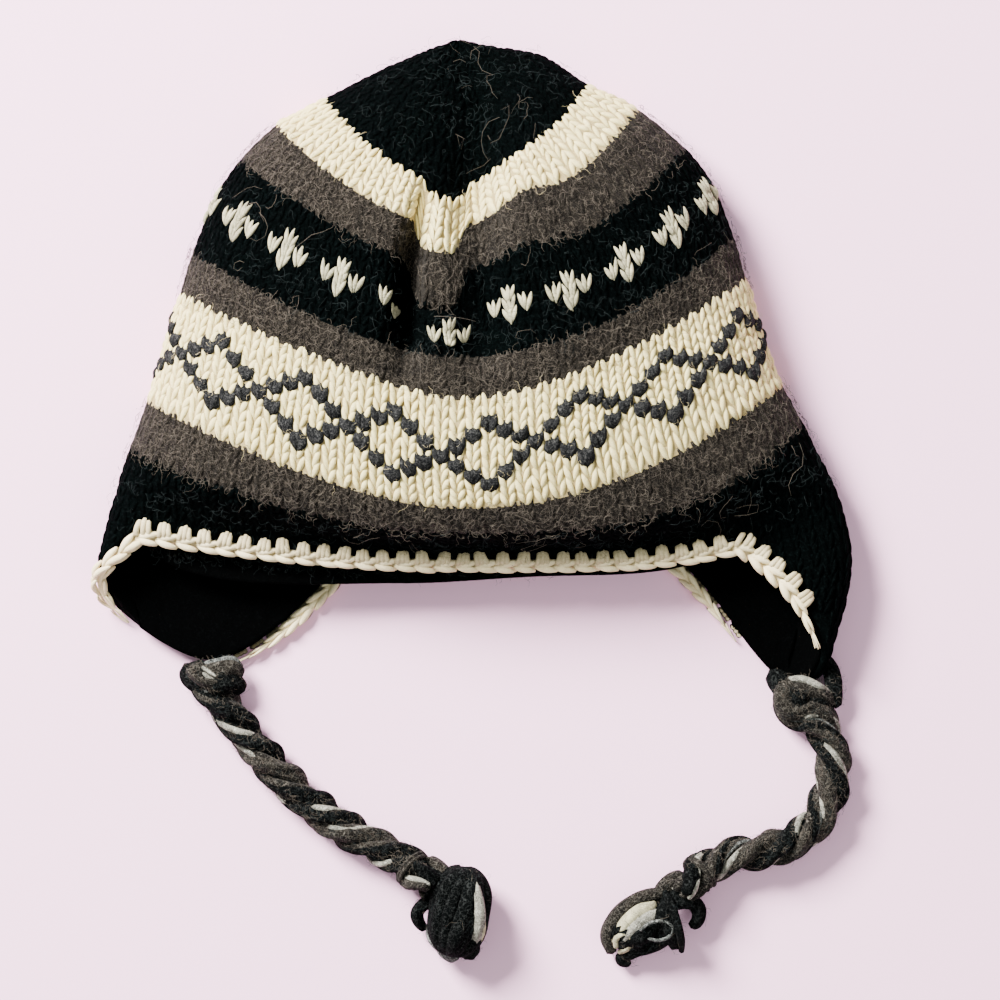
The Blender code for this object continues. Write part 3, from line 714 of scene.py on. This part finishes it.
def bunch(middle, way, side, size, yarns, colours, turn_by, radius, seed):
    """Yarns laid over an egg from one end to the other, each along its own meridian with a lean:
    the yarn at the angle c stands off the egg's axis by the sine of the way along it."""
    draws = np.random.default_rng(seed)
    a = np.linspace(0.1, np.pi - 0.1, 24)
    lines, numbers = [], []
    for i in range(yarns):
        c = 2 * np.pi * (i + 0.5) / yarns
        numbers.append(TIE_NUMBERS[colours(c)])
        c = c + turn_by * (a / np.pi - 0.5) + 0.07 * draws.standard_normal()
        wave = 1 + 0.04 * np.sin(5 * a + draws.uniform(0, 6))
        reach = np.sin(a) ** 0.75 * wave
        lines.append(
            middle
            - way * (np.cos(a) * (size[0] / 2 - radius))[:, None]
            + side * (reach * np.cos(c) * (size[1] / 2 - radius))[:, None]
            + np.array([0, 0, 1.0]) * (reach * np.sin(c) * (size[2] / 2 - radius))[:, None]
        )
    thick = radius * (0.75 + 0.25 * np.sin(a)) * (1 + 0.1 * draws.standard_normal((yarns, 1)))
    points, faces = tubes(lines, thick, 10, groove=(0.05, 4, 1.2))
    return points, faces, np.repeat(numbers, len(faces) // yarns)


def bundles(rows):
    """Thick bundles of wool through the points of each row, tapered at their ends and grooved."""
    parts = []
    for wool_name, radius, points in rows:
        points = np.reshape(points, (-1, 3)) / 1000
        length = lengths(points)[-1]
        far = np.linspace(0, length, 24)
        line = through(points, far) + SHIFT
        way = far / length
        thick = radius / 1000 * (0.4 + 0.6 * np.sin(np.pi * (0.05 + 0.9 * way)) ** 0.5)
        made = tubes(line[None], thick[None], 18, groove=(0.09, 6, length / 0.03))
        parts.append((*made, TIE_NUMBERS[wool_name]))
    return parts


# Thick bundles of wool at the flap tips and in the knots: the wool, its radius, and the points
# that it goes through, in millimetres and in the solids' own raw place
WRAP_LEFT = (
    ("grey", 2.6, (-110, -121.5, 7, -104, -120.5, 10, -98.5, -119.5, 9, -95.5, -122, 6)),
    ("brown", 4.2, (-111, -124.8, 8, -104, -122.8, 10.5, -98.8, -122.2, 9.5, -95.6, -124.6, 7)),
    ("black", 4.8, (-117, -121.5, 5.5, -114, -126, 7, -108.4, -129.6, 8)),
    ("black", 4.6, (-110.6, -126.8, 9, -104, -128, 11, -98, -128, 8.5, -95, -130.4, 6)),
    ("black", 4.6, (-113, -127, 6, -108, -132, 7.5, -101, -133, 8)),
    ("light", 0.8, (-112.8, -120.6, 11, -109.2, -122.2, 14.4, -104.8, -125, 15.2)),
    ("grey", 1.6, (-112, -133, 7, -109, -130.8, 10.5, -104.8, -129, 12)),
)
WRAP_RIGHT = (
    ("black", 5.0, (118, -124, 5.5, 122, -129, 7, 127, -134, 7.5, 132, -137, 7.5)),
    ("brown", 3.6, (122.5, -126.6, 8.5, 125, -130.4, 9.5, 129.6, -134.8, 9)),
    ("light", 1.5, (124, -126.6, 9, 129.8, -126.2, 13, 135.6, -128.6, 13, 141, -132, 8.5)),
    ("brown", 3.2, (125, -130.6, 9.5, 131, -129.6, 11.5, 137, -132.2, 10.5, 142, -136, 7.5)),
    ("black", 3.6, (138.6, -117.8, 5, 141.8, -124, 6, 142.8, -130.8, 6.5, 143.4, -137, 6.5)),
    ("black", 3.6, (130, -135, 8, 136, -134, 9.5, 141, -136.4, 7.5)),
)
KNOT_LEFT = (
    ("black", 5.2, (-21, -202, 7.5, -16, -208.5, 9.5, -10, -215, 12)),
    ("black", 4.4, (-20.5, -210, 6, -16, -215, 8, -11, -220, 9)),
    ("brown", 3.6, (-20, -199, 7.5, -15.5, -203, 8.5, -11, -206.5, 9)),
    ("light", 2.9, (-4, -203.6, 15.5, -1.2, -211, 20, 0.2, -219.6, 20.5, -0.6, -227.6, 18, -2.6,
     -233.4, 12)),
    ("cream", 1.5, (1.4, -219.2, 20.5, 1.6, -225.8, 19, 0.2, -231.6, 15)),
    ("grey", 3.6, (-15.2, -232.2, 7, -11.2, -236.2, 7, -8.8, -238.2, 6)),
    ("black", 4.4, (-6.4, -229.8, 9, -3.6, -234.2, 8, -4.4, -237.4, 6)),
    ("grey", 3.2, (-18.8, -225.8, 6, -16.8, -230.6, 7, -13.6, -234.6, 7)),
    ("black", 2.7, (-16.4, -216.2, 9, -21.6, -216.6, 9, -24.4, -220.2, 8, -23.2, -224.6, 6, -21.6,
     -226.6, 5)),
)
KNOT_RIGHT = (
    ("black", 4.6, (83, -210, 7.5, 79, -214, 9, 74, -217, 10)),
    ("brown", 3.6, (82, -205, 8, 77, -208, 9, 72, -212, 9)),
    ("brown", 3.4, (74.4, -212.2, 9, 67.2, -213.4, 10, 60, -217.4, 10, 54.4, -223.4, 9, 52, -229.8,
     7, 53.6, -235.8, 5)),
    ("cream", 3.3, (70.6, -216.4, 10, 65.4, -219, 12, 60.2, -223.4, 12, 56.6, -228.6, 9.5, 55.4,
     -231.6, 8)),
    ("light", 3.0, (71.6, -219.6, 12, 67.4, -222, 13.5, 62.6, -225.6, 13, 59, -230, 10.5, 57.6,
     -233, 8)),
    ("cream", 1.4, (55.2, -233.8, 10, 55.6, -229.8, 12, 59.2, -228.2, 13, 61.2, -230.6, 12, 59.6,
     -234.2, 10, 56.4, -235.8, 8)),
    ("grey", 0.8, (64.8, -226.6, 17, 68.8, -223.4, 18, 74.4, -223, 17.5, 77.6, -225.4, 16, 76.8,
     -228.6, 15.5, 72, -230.6, 16, 68, -229.8, 16)),
    ("black", 3.6, (76, -229.8, 10, 69.6, -232.6, 9, 63.2, -234.6, 7, 57.6, -237.8, 5)),
    ("black", 4.2, (69.6, -225.8, 14, 64.8, -229, 12, 61.6, -232.2, 9)),
    ("black", 3.8, (76, -215.8, 12, 74.4, -221, 14.5, 77.2, -227.4, 12, 79.2, -233.4, 8)),
    ("black", 1.7, (74, -210.2, 9, 77.2, -215.8, 16, 79.2, -222.2, 18, 80.8, -228.6, 16, 81.6,
     -235.4, 7)),
    ("black", 3.1, (78.6, -216.8, 11, 83, -215.4, 11, 87, -216.6, 9, 88.6, -219.8, 8, 87.8, -223.4,
     7, 86, -225.2, 5)),
    ("black", 2.2, (56.8, -236.6, 5, 57.6, -239.4, 4.5, 60.8, -240.6, 4)),
)


def edge_place(phi, reach, depth):
    """A place beside the knitting's edge: reach past it, in metres, in the wall's own slope.
    It is found by going square to the edge in phi and t, with steps scaled to metres."""
    t, small = rim(phi), 0.0015
    wide = 0.004
    ahead, behind = (hat(phi + step, rim(phi + step), 0.0018) for step in (wide, -wide))
    tangent = unit(ahead - behind)
    by_phi = hat(phi + small, t, 0.0018) - hat(phi - small, t, 0.0018)
    by_t = hat(phi, t + small, 0.0018) - hat(phi, t - small, 0.0018)
    a, b = (by_t * tangent).sum(-1), -(by_phi * tangent).sum(-1)
    away = a[..., None] * by_phi + b[..., None] * by_t
    size = np.where(b > 0, -1.0, 1.0) / np.linalg.norm(away, axis=-1) * 2 * small
    return on_hat(phi + a * reach * size, t + b * reach * size, depth)


def leaf(rings, sides, lean, wide):
    """One leg of a stitch, as numbers: how far across, up and out each of its points is. It leans
    outward as it goes up, is thickest in the middle, and is pointed and sunk at both ends."""
    s = np.linspace(0.0, 1.0, rings)
    across = (0.06 if lean else 0.0) + lean * s**0.9
    up = -0.58 + 1.66 * s
    fat = np.sin(np.pi * (0.05 + 0.9 * s)) ** 0.7
    out = np.sin(np.pi * s) ** 0.8
    turn = (np.arange(sides) + 0.5) * 2 * np.pi / sides
    ring_across = across[:, None] + wide * fat[:, None] * np.cos(turn)
    ring_up = up[:, None] - 0.05 * fat[:, None] * np.cos(turn)
    ring_out = out[:, None] * 0.4 + 0.58 * fat[:, None] * np.sin(turn)
    ring = np.stack([ring_across, ring_up, ring_out], -1).reshape(-1, 3)
    ends = [[across[0], up[0] - 0.1, -0.2], [across[-1] + 0.01, up[-1] + 0.12, -0.2]]
    return np.concatenate([ring, ends]), tube_faces(rings, sides)


def stitches(cells, relief, rings, sides, filled, wide_leg, lift):
    """The legs of the stitches at these cells (phi of the middle, t of the row, its width in phi
    and its height in t), mapped from the leaf's numbers on to the hat's surface. Where filled is
    given it makes one upright leg instead, that wide, so that its colour covers the cell."""
    lean, half = (0.0, filled) if filled else (0.36, wide_leg)
    template, faces = leaf(rings, sides, lean, half)
    count = len(cells)
    phi, t, wide, high = (cells[:, k][:, None, None] for k in range(4))
    flip = np.array([1.0] if filled else [-1.0, 1.0])[None, :, None]
    legs = flip.shape[1]
    draws = rng.standard_normal((5, count, legs, 1))
    x = (template[:, 0] + 0.032 * draws[0]) * flip * (1 + 0.06 * draws[1])
    y = template[:, 1] * (1 + 0.07 * draws[2]) + 0.08 * draws[3]
    z = template[:, 2] * relief * 0.00165 * (1 + 0.14 * draws[4]) - 0.0002
    points = on_hat(phi + x * wide, t + y * high, -(z - 0.001 + lift)).reshape(-1, 3)
    every = faces[None] + (np.arange(legs * count) * len(template))[:, None, None]
    if not filled:
        # the left leg is a mirror image, so its triangles turn the other way
        every[::2] = every[::2, :, ::-1]
    return points, every.reshape(-1, 3)


def yarn_at(band, row, column, yarn):
    """The colour of one stitch: the diamonds' lines, the stars, or its band's own."""
    if band == DIAMOND_BAND:
        step = (column + DIAMOND_SHIFT) % DIAMOND_REPEAT
        step = min(step, DIAMOND_REPEAT - step)
        line = row - DIAMOND_FIRST_ROW
        if line in (3 - step, 3 + step) and 0 <= line <= 6:
            return "charcoal"
    if band == STAR_BAND:
        if abs(column % STAR_REPEAT - 1) + abs(row - STAR_MIDDLE_ROW) <= 1:
            return "cream"
    return yarn


def knit_cells():
    """Each stitch of the hat: its band, colour, place and size."""
    cells, colours, bands = [], [], []
    for band, (t0, t1, rows, count, yarn) in enumerate(BANDS):
        high = (t1 - t0) / rows
        moved = STAR_BAND_SHIFT if band == STAR_BAND else 0.0
        for row in range(rows):
            t = t0 + (row + 0.5) * high
            for column in range(count):
                phi = float(turned(-1 + (column + 0.5 + moved) * 2 / count))
                if t < float(rim(phi)) + 0.35 * high:
                    continue
                cells.append((phi, t, 2 / count, high))
                colours.append(yarn_at(band, row, column, yarn))
                bands.append(band)
    return np.array(cells), np.array(colours), np.array(bands)


cells, colours, bands = knit_cells()
HIDDEN_STAR = (-0.032, -0.0185)  # the fold beside the ridge hides the star between these x
cell_x = hat(cells[:, 0], cells[:, 1])[:, 0]
hidden = (cell_x > HIDDEN_STAR[0]) & (cell_x < HIDDEN_STAR[1])
colours[(bands == STAR_BAND) & hidden] = "black"
shown = np.abs(cells[:, 0]) < 0.54  # the upper side and a little round its folds
PIECES = (
    # name, yarn, bands, relief, rings and sides of a shown leg
    ("stitches_rim", "black", (0, 1), 0.7, 5, 4),
    ("stitches_brown", "brown", (2, 4, 6), 0.55, 5, 4),
    ("stitches_diamonds", "cream", (3,), 0.9, 6, 6),
    ("stitches_lines", "charcoal", (3,), 1.0, 7, 6),
    ("stitches_night", "black", (5,), 0.65, 5, 4),
    ("stitches_stars", "cream", (5,), 0.85, 7, 6),
    ("stitches_upper", "cream", (7,), 0.9, 7, 6),
    ("stitches_crown", "black", (8, 9, 10, 11, 12), 0.65, 5, 4),
)
USUAL_LEG = (0.195, 0.0, 0.0)
LEGS = {
    # where it isn't as usual: how wide a leg is, its lift, and the width of an upright leg
    "stitches_lines": (0.27, 0.0006, 0.62),
    "stitches_stars": (0.155, 0.0004, 0.17),
}
for name, yarn, numbers, relief, rings, sides in PIECES:
    mine = (colours == yarn) & np.isin(bands, numbers)
    parts = []
    for side, detail in ((shown, (rings, sides)), (~shown, (4, 3))):
        chosen = cells[mine & side]
        if len(chosen):
            wide_leg, lift, filled = LEGS.get(name, USUAL_LEG)
            parts.append((*stitches(chosen, relief, *detail, 0.0, wide_leg, lift), 0))
            if filled:
                parts.append((*stitches(chosen, 0.9 * relief, *detail, filled, 0.0, lift), 0))
    points, faces, _ = joined(parts)
    wool_name = "star" if name == "stitches_stars" else yarn
    piece(name, points, faces, (wool_name,))


# Loose fibres
FIBRE_RINGS = 6


def fibres(places, across, upward, out, length, curl, lift, radius, seed):
    """Curled fibres: each sets off its own way in the plane of across and upward, its way turns
    at an even rate and wobbles as it goes, and it bows out by lift and comes back."""
    draws = np.random.default_rng(seed)
    count = len(places)
    s = np.linspace(0, 1, FIBRE_RINGS)
    one = (count, 1)
    long = length * draws.uniform(0.5, 1.6, one)
    heading = draws.uniform(0, 2 * np.pi, one) + curl * draws.standard_normal(one) * s
    heading = heading + 0.6 * np.sin(
        2 * np.pi * (s * draws.uniform(0.5, 1.5, one) + draws.uniform(0, 1, one))
    )
    a = np.cumsum(np.cos(heading), 1) * long / FIBRE_RINGS
    b = np.cumsum(np.sin(heading), 1) * long / FIBRE_RINGS
    rise = lift * draws.uniform(-0.2, 1.0, one) * np.sin(np.pi * s)
    lines = (
        places[:, None] + a[..., None] * across[:, None] + b[..., None] * upward[:, None]
        + rise[..., None] * out[:, None]
    )
    return tubes(lines, radius * (1.1 - 0.5 * s) * draws.uniform(0.7, 1.2, one), 3)


def wall_fibres(areas, height, length, curl, lift, radius, seed):
    """Fibres over areas of the knitting, each given as phi0, phi1, t0, t1 and how many."""
    draws = np.random.default_rng(seed + 100)
    phi = np.concatenate([draws.uniform(a, b, n) for a, b, _, _, n in areas])
    t = np.concatenate([draws.uniform(c, d, n) for _, _, c, d, n in areas])
    small = 0.004
    across = unit(on_hat(phi + small, t) - on_hat(phi - small, t))
    upward = unit(on_hat(phi, t + small) - on_hat(phi, t - small))
    out = unit(np.cross(across, upward))
    share = draws.uniform(0.3, 1.1, len(phi)) if height > 0 else 1.0
    places = on_hat(phi, t, -height * share)
    upward = unit(np.cross(out, across))
    return fibres(places, across, upward, out, length, curl, lift, radius, seed)


def mesh_fibres(thing, count, length, curl, lift, radius, seed):
    """Fibres from places on a piece's mesh, along its faces."""
    draws = np.random.default_rng(seed + 200)
    mesh = thing.data
    points = np.zeros(len(mesh.vertices) * 3, np.float32)
    normals = np.zeros(len(mesh.vertices) * 3, np.float32)
    mesh.vertices.foreach_get("co", points)
    mesh.vertices.foreach_get("normal", normals)
    pick = draws.integers(0, len(mesh.vertices), count)
    places = points.reshape(-1, 3)[pick].astype(float)
    out = unit(normals.reshape(-1, 3)[pick].astype(float))
    across = unit(np.cross(out, draws.standard_normal((count, 3))))
    return fibres(places, across, np.cross(out, across), out, length, curl, lift, radius, seed)


FRONT = (-0.52, 0.52)
BROWN_AREAS = tuple(
    (*FRONT, t0 - 0.004, t1 + 0.004, number)
    for t0, t1, number in ((0.11, 0.178, 1150), (0.384, 0.452, 1000), (0.603, 0.671, 800))
)
FUZZ = (
    # name, wool, areas, height, length, curl, lift, radius, seed
    ("fuzz_brown_light", "fibre_light", BROWN_AREAS, 0.0008, 0.0052, 2.6, 0.001, 0.000064, 31),
    ("fuzz_brown_dark", "fibre_dark", tuple((*a[:4], a[4] // 5) for a in BROWN_AREAS),
     0.001, 0.004, 3.2, 0.001, 0.0001, 32),
    ("fuzz_black", "fibre_grey",
     ((*FRONT, 0.0, 0.11, 480), (*FRONT, 0.452, 0.603, 700), (*FRONT, 0.753, 0.97, 300)),
     0.0009, 0.0062, 3.6, 0.002, 0.000062, 33),
    ("fuzz_cream", "fibre_cream", ((*FRONT, 0.178, 0.384, 620), (*FRONT, 0.671, 0.753, 260)),
     0.0006, 0.0046, 2.2, 0.0008, 0.00004, 34),
    ("fuzz_lip", "fibre_grey", ((-0.42, -0.1, -0.05, -0.006, 330), (-0.1, 0.1, -0.044, -0.006, 190),
                               (0.1, 0.3, -0.026, -0.004, 130)),
     -0.0042, 0.0042, 3.2, 0.0006, 0.000062, 36),
    ("flyaways", "fibre_light",
     ((-0.3, 0.42, 0.02, 0.19, 34), (-0.45, 0.45, 0.45, 0.6, 16), (-0.1, 0.3, 0.78, 0.97, 14)),
     0.0012, 0.019, 4.2, 0.0028, 0.000065, 35),
)
for name, yarn, *settings in FUZZ:
    piece(name, *wall_fibres(*settings), (yarn,))


def grid_faces(rows, columns):
    """Triangles of a grid of rows, each row a closed ring."""
    faces = []
    i = np.arange(columns)
    j = (i + 1) % columns
    for r in range(rows - 1):
        a, b = r * columns + i, r * columns + j
        faces += [np.stack([a, b, b + columns], -1), np.stack([a, b + columns, a + columns], -1)]
    return np.concatenate(faces)


def walled(outer, inner, closed_top):
    """A closed wall between two grids of places, its edge and its top joined."""
    rows, columns = outer.shape[:2]
    points = np.concatenate([outer.reshape(-1, 3), inner.reshape(-1, 3)])
    start = rows * columns
    outside = grid_faces(rows, columns)
    i = np.arange(columns)
    j = (i + 1) % columns
    a, b = (rows - 1) * columns + i, (rows - 1) * columns + j
    edge = [(j, i, start + i), (j, start + i, start + j)]
    if closed_top:
        points = np.concatenate([points, [outer[-1].mean(0), inner[-1].mean(0)]])
        tip = np.full(columns, len(points) - 2)
        top = [(a, b, tip), (b + start, a + start, tip + 1)]
    else:
        top = [(a, b, b + start), (a, b + start, a + start)]
    ends = [np.stack(corners, -1) for corners in edge + top]
    return points, np.concatenate([outside, outside[:, ::-1] + start, *ends])


def knit_back():
    """The knitting behind the stitches: a wall a little under the solids' outer face."""
    phi = np.linspace(-1, 1, 260, endpoint=False)
    edge = rim(phi)
    marks = sorted({t for row in BANDS for t in row[:2] if t > 0.05} | {0.997})
    ts = [marks[-1]]
    for low, high in zip(marks, marks[1:]):
        ts += list(np.linspace(low, high, 4)[:-1])
    low_rows = edge + (0.085 - edge) * np.linspace(0, 1, 9)[:, None]
    high_rows = np.repeat(np.unique(np.round(ts, 5))[:, None], len(phi), 1)
    t = np.concatenate([low_rows, high_rows])
    outer = on_hat(phi, t, 0.0007)
    # the inner face stops short of the top, and its rows there lie close together
    top = 0.955 + 5e-06 * np.arange(len(t))[:, None]
    points, faces = walled(outer, on_hat(phi, np.minimum(t, top), KNIT_WALL), True)
    # behind the cream bands the wall is a darker cream: painted shade in the gaps between the
    # stitches
    wools = {"black": "black", "brown": "brown", "cream": "cream_painted_shade"}
    numbers = np.zeros(len(faces), int)
    # grid_faces lists each row's two sets of triangles together
    per_row = 2 * len(phi)
    heights = t.max(1)
    for r, middle in enumerate((heights[:-1] + heights[1:]) / 2):
        for t0, t1, _, _, yarn in BANDS:
            if t0 <= middle < t1:
                numbers[r * per_row:(r + 1) * per_row] = list(wools).index(yarn)
    thing = piece("knit_back", points, faces, wools.values(), numbers)
    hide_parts("knit_body")


knit_back()


def fleece():
    """The lining, with a fine uneven pile."""
    phi = np.linspace(-1, 1, 420, endpoint=False)
    edge = rim(phi)
    lip = smooth([p for p, _ in LIP], [s for _, s in LIP], phi)
    lip = np.where((phi > LIP[0][0]) & (phi < LIP[-1][0]), np.maximum(lip, 0), 0)
    low = edge - lip
    t = low[None] + (LINING_BAND - low[None]) * (np.linspace(0, 1, 26) ** 1.1)[:, None]
    pile = 0.00018 * rng.standard_normal(t.shape)
    sag = LIP_SAG * np.clip(lip / 0.05, 0, 1) * np.clip((edge - t) / 0.02, 0, 1)
    outer = on_hat(phi[None], t, KNIT_WALL + CLEARANCE + sag)
    inner = on_hat(phi[None], t, LAYERS + sag + pile)
    points, faces = walled(outer, inner, False)
    thing = piece("fleece_pile", points, faces, ("fleece",))
    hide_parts("fleece_lining")


fleece()


# The crocheted edging
CHAIN_PITCH = 0.008
BARE_BEFORE = -0.452  # the edging that lies on its side there, before this phi, shows no teeth


def edging(name, start, end):
    """One run of the edging, from start to end in phi: a core, the chain and its teeth. A share
    counts crochet stitches along it, at even steps of length."""
    phi = np.linspace(start, end, 1200)
    far = lengths(edge_place(phi, 0.003, 0.0018))
    count = int(round(far[-1] / CHAIN_PITCH))
    front = name == "edging_front"

    def at(share):
        return np.interp(np.asarray(share) / count * far[-1], far, phi)

    def closer(share):
        """How much nearer the chain is drawn to the edge that lies on its side."""
        return np.clip((-0.455 - at(share)) / 0.04, 0, 1) if front else 0.0

    def taper(share):
        ends = np.clip(np.minimum(share, count - share) / 3.2, 0.15, 1.0)
        return ends * (1 - 0.25 * closer(share)) * (1.0 if front else 0.86)

    s = np.linspace(0.05, count - 0.05, count * 4)
    core = edge_place(at(s), 0.0032 - 0.0012 * closer(s), np.full(len(s), 0.0019))
    core_radius = (0.0018 - 0.0005 * closer(s)) * np.clip(np.minimum(s, count - s) / 3, 0.15, 1)
    parts = [(*tubes(core[None], core_radius[None], 8), 0)]
    # the chain: two rows of slanting leaves on the outer face, and two on the inner
    way = np.linspace(0, 1, 9)
    for sides, side in ((7, -1.0), (7, 1.0), (5, -1.0), (5, 1.0)):
        lines, thick = [], []
        for k in range(count):
            jitter = 0.06 * rng.standard_normal(3)
            share = np.clip(k - 0.02 + 1.22 * way + jitter[0], 0.02, count - 0.02)
            spread = taper(share) * (1 - 0.2 * closer(share))
            reach = 0.0032 - 0.0012 * closer(share)
            reach = reach + side * (0.0001 + 0.0026 * way ** 0.9) * (1 + jitter[1]) * spread
            high = np.sin(np.pi * np.clip(0.02 + 0.8 * way, 0, 1)) ** 0.8
            depth = 0.0014 - 0.0024 * high if sides == 7 else 0.0023 + 0.0014 * high
            lines.append(edge_place(at(share), reach, depth))
            thick.append(0.0016 * np.sin(np.pi * (0.06 + 0.84 * way)) ** 0.75 * taper(share))
        parts.append((*tubes(lines, thick, sides, groove=(0.05, 3, 1.5)), 0))
    # the teeth: three strands that come from under the chain and are drawn together at their top
    way = np.linspace(0, 1, 8)
    lines = []
    for k in range(count):
        if at(k + 0.5) < BARE_BEFORE or (front and k > count - 3):
            continue
        lean = 0.07 * rng.standard_normal()
        tall = 0.0036 + 0.0004 * rng.standard_normal()
        for strand in (-1, 0, 1):
            base, top = 0.5 + 0.25 * strand, 0.5 + 0.15 * strand + lean
            share = np.clip(k + base + (top - base) * way ** 1.4, 0.02, count - 0.02)
            reach = 0.0012 - (0.0012 + tall * (1 if strand == 0 else 0.86)) * way
            bow = np.sin(np.pi * np.clip(way * 0.9 + 0.1, 0, 1)) ** 0.8
            depth = -0.0004 - 0.001 * bow + 0.0016 * way ** 4
            lines.append(edge_place(at(share), reach, depth))
    # the teeth are the trim's yarn, in a darker copy of its wool: painted shade
    parts.append((*tubes(lines, 0.00128 * (1.0 - 0.12 * way), 7, groove=(0.05, 3, 1.0)), 1))
    points, faces, numbers = joined(parts)
    thing = piece(name.replace("edging", "crochet"), points, faces, ("trim", "tooth_painted_shade"), numbers)
    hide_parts(name)


for edging_name, ends in EDGING_RUNS.items():
    edging(edging_name, *ends)


# The knots and what ties them
WINDING_TURNS = 2


def winding(name, points):
    """Thin yarn wound round the tie before its knot, as a loose coil."""
    line, _ = route(name, points)
    place, way = line[-2], unit(line[-1] - line[-3])
    side = unit(np.cross((0, 0, 1.0), way))
    up = np.cross(way, side)
    a = np.linspace(0, 2 * np.pi * WINDING_TURNS, 30 * WINDING_TURNS)
    draws = np.random.default_rng(3)
    radius = TIE_DIAMETER / 2 + 0.0002 + 0.0003 * np.sin(a * 1.7 + draws.uniform(0, 6))
    coil = (
        place
        + around(a, side, up) * radius[:, None]
        + way * (0.0018 * (a / a[-1] - 0.5) * WINDING_TURNS * 0.8)[:, None]
    )
    return tubes(coil[None], 0.0009, 7)


def left_wool(c):
    """The wool at the angle c round the left knot: 0 is its right side, a quarter turn its top."""
    return "grey" if 4.0 < c < 4.8 else "black"


def right_wool(c):
    return "brown" if 2.6 < c < 4.2 else "black"


KNOTS = {
    # where the egg's middle is, its axis, its size, the wool round it, and its turn
    "left": ((-0.0076, -0.2192), (-0.14, -0.99), (0.0385, 0.0262, 0.024), left_wool, 0.9),
    "right": ((0.0664, -0.2252), (-0.93, -0.37), (0.03, 0.02, 0.015), right_wool, 0.4),
}
TIES = {"left": TIE_LEFT, "right": TIE_RIGHT}
KNOT_BUNDLES = {"left": KNOT_LEFT, "right": KNOT_RIGHT}
WRAPS = {"left": WRAP_LEFT, "right": WRAP_RIGHT}
for number, (side_name, (spot, axis, size, wool_round, turn_by)) in enumerate(KNOTS.items()):
    way = unit(np.array([*axis, 0.0]))
    side = np.array([-way[1], way[0], 0.0])
    middle = np.array([*spot, size[2] / 2 + 0.0003]) + SHIFT
    egg = bunch(middle, way, side, size, 11, wool_round, turn_by, 0.0036, 4 + number)
    ball = tie_piece("knot_" + side_name, [egg] + bundles(KNOT_BUNDLES[side_name]))
    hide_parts("end_knot_" + side_name)
    coil = piece("winding_" + side_name, *winding(side_name, TIES[side_name]), ("tie_brown",))
    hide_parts("knot_binding_" + side_name)
    wrap = tie_piece("wrap_" + side_name, bundles(WRAPS[side_name]))
    braid, line, length = rope(side_name, TIES[side_name])
    haze = joined([
        (*mesh_fibres(thing, count, 0.0042, 3.0, 0.0008, 0.000055, 50 + 5 * number + k), tint)
        for k, (thing, count, tint) in enumerate(
            ((wrap, 150, 0), (ball, 130, 0), (wrap, 150, 1), (ball, 340, 1))
        )
    ])
    fuzz = piece("fuzz_knot_" + side_name, haze[0], haze[1], ("fibre_light", "fibre_grey"), haze[2])

floor = bpy.data.meshes.new("floor")
floor.from_pydata([(-6, -6, 0), (6, -6, 0), (6, 6, 0), (-6, 6, 0)], [], [(0, 1, 2, 3)])
floor.materials.append(floor_material)
floor_object = bpy.data.objects.new("floor", floor)
bpy.context.collection.objects.link(floor_object)

total = sum(len(o.data.polygons) for o in bpy.data.objects if o.type == "MESH")
print("triangles", total)
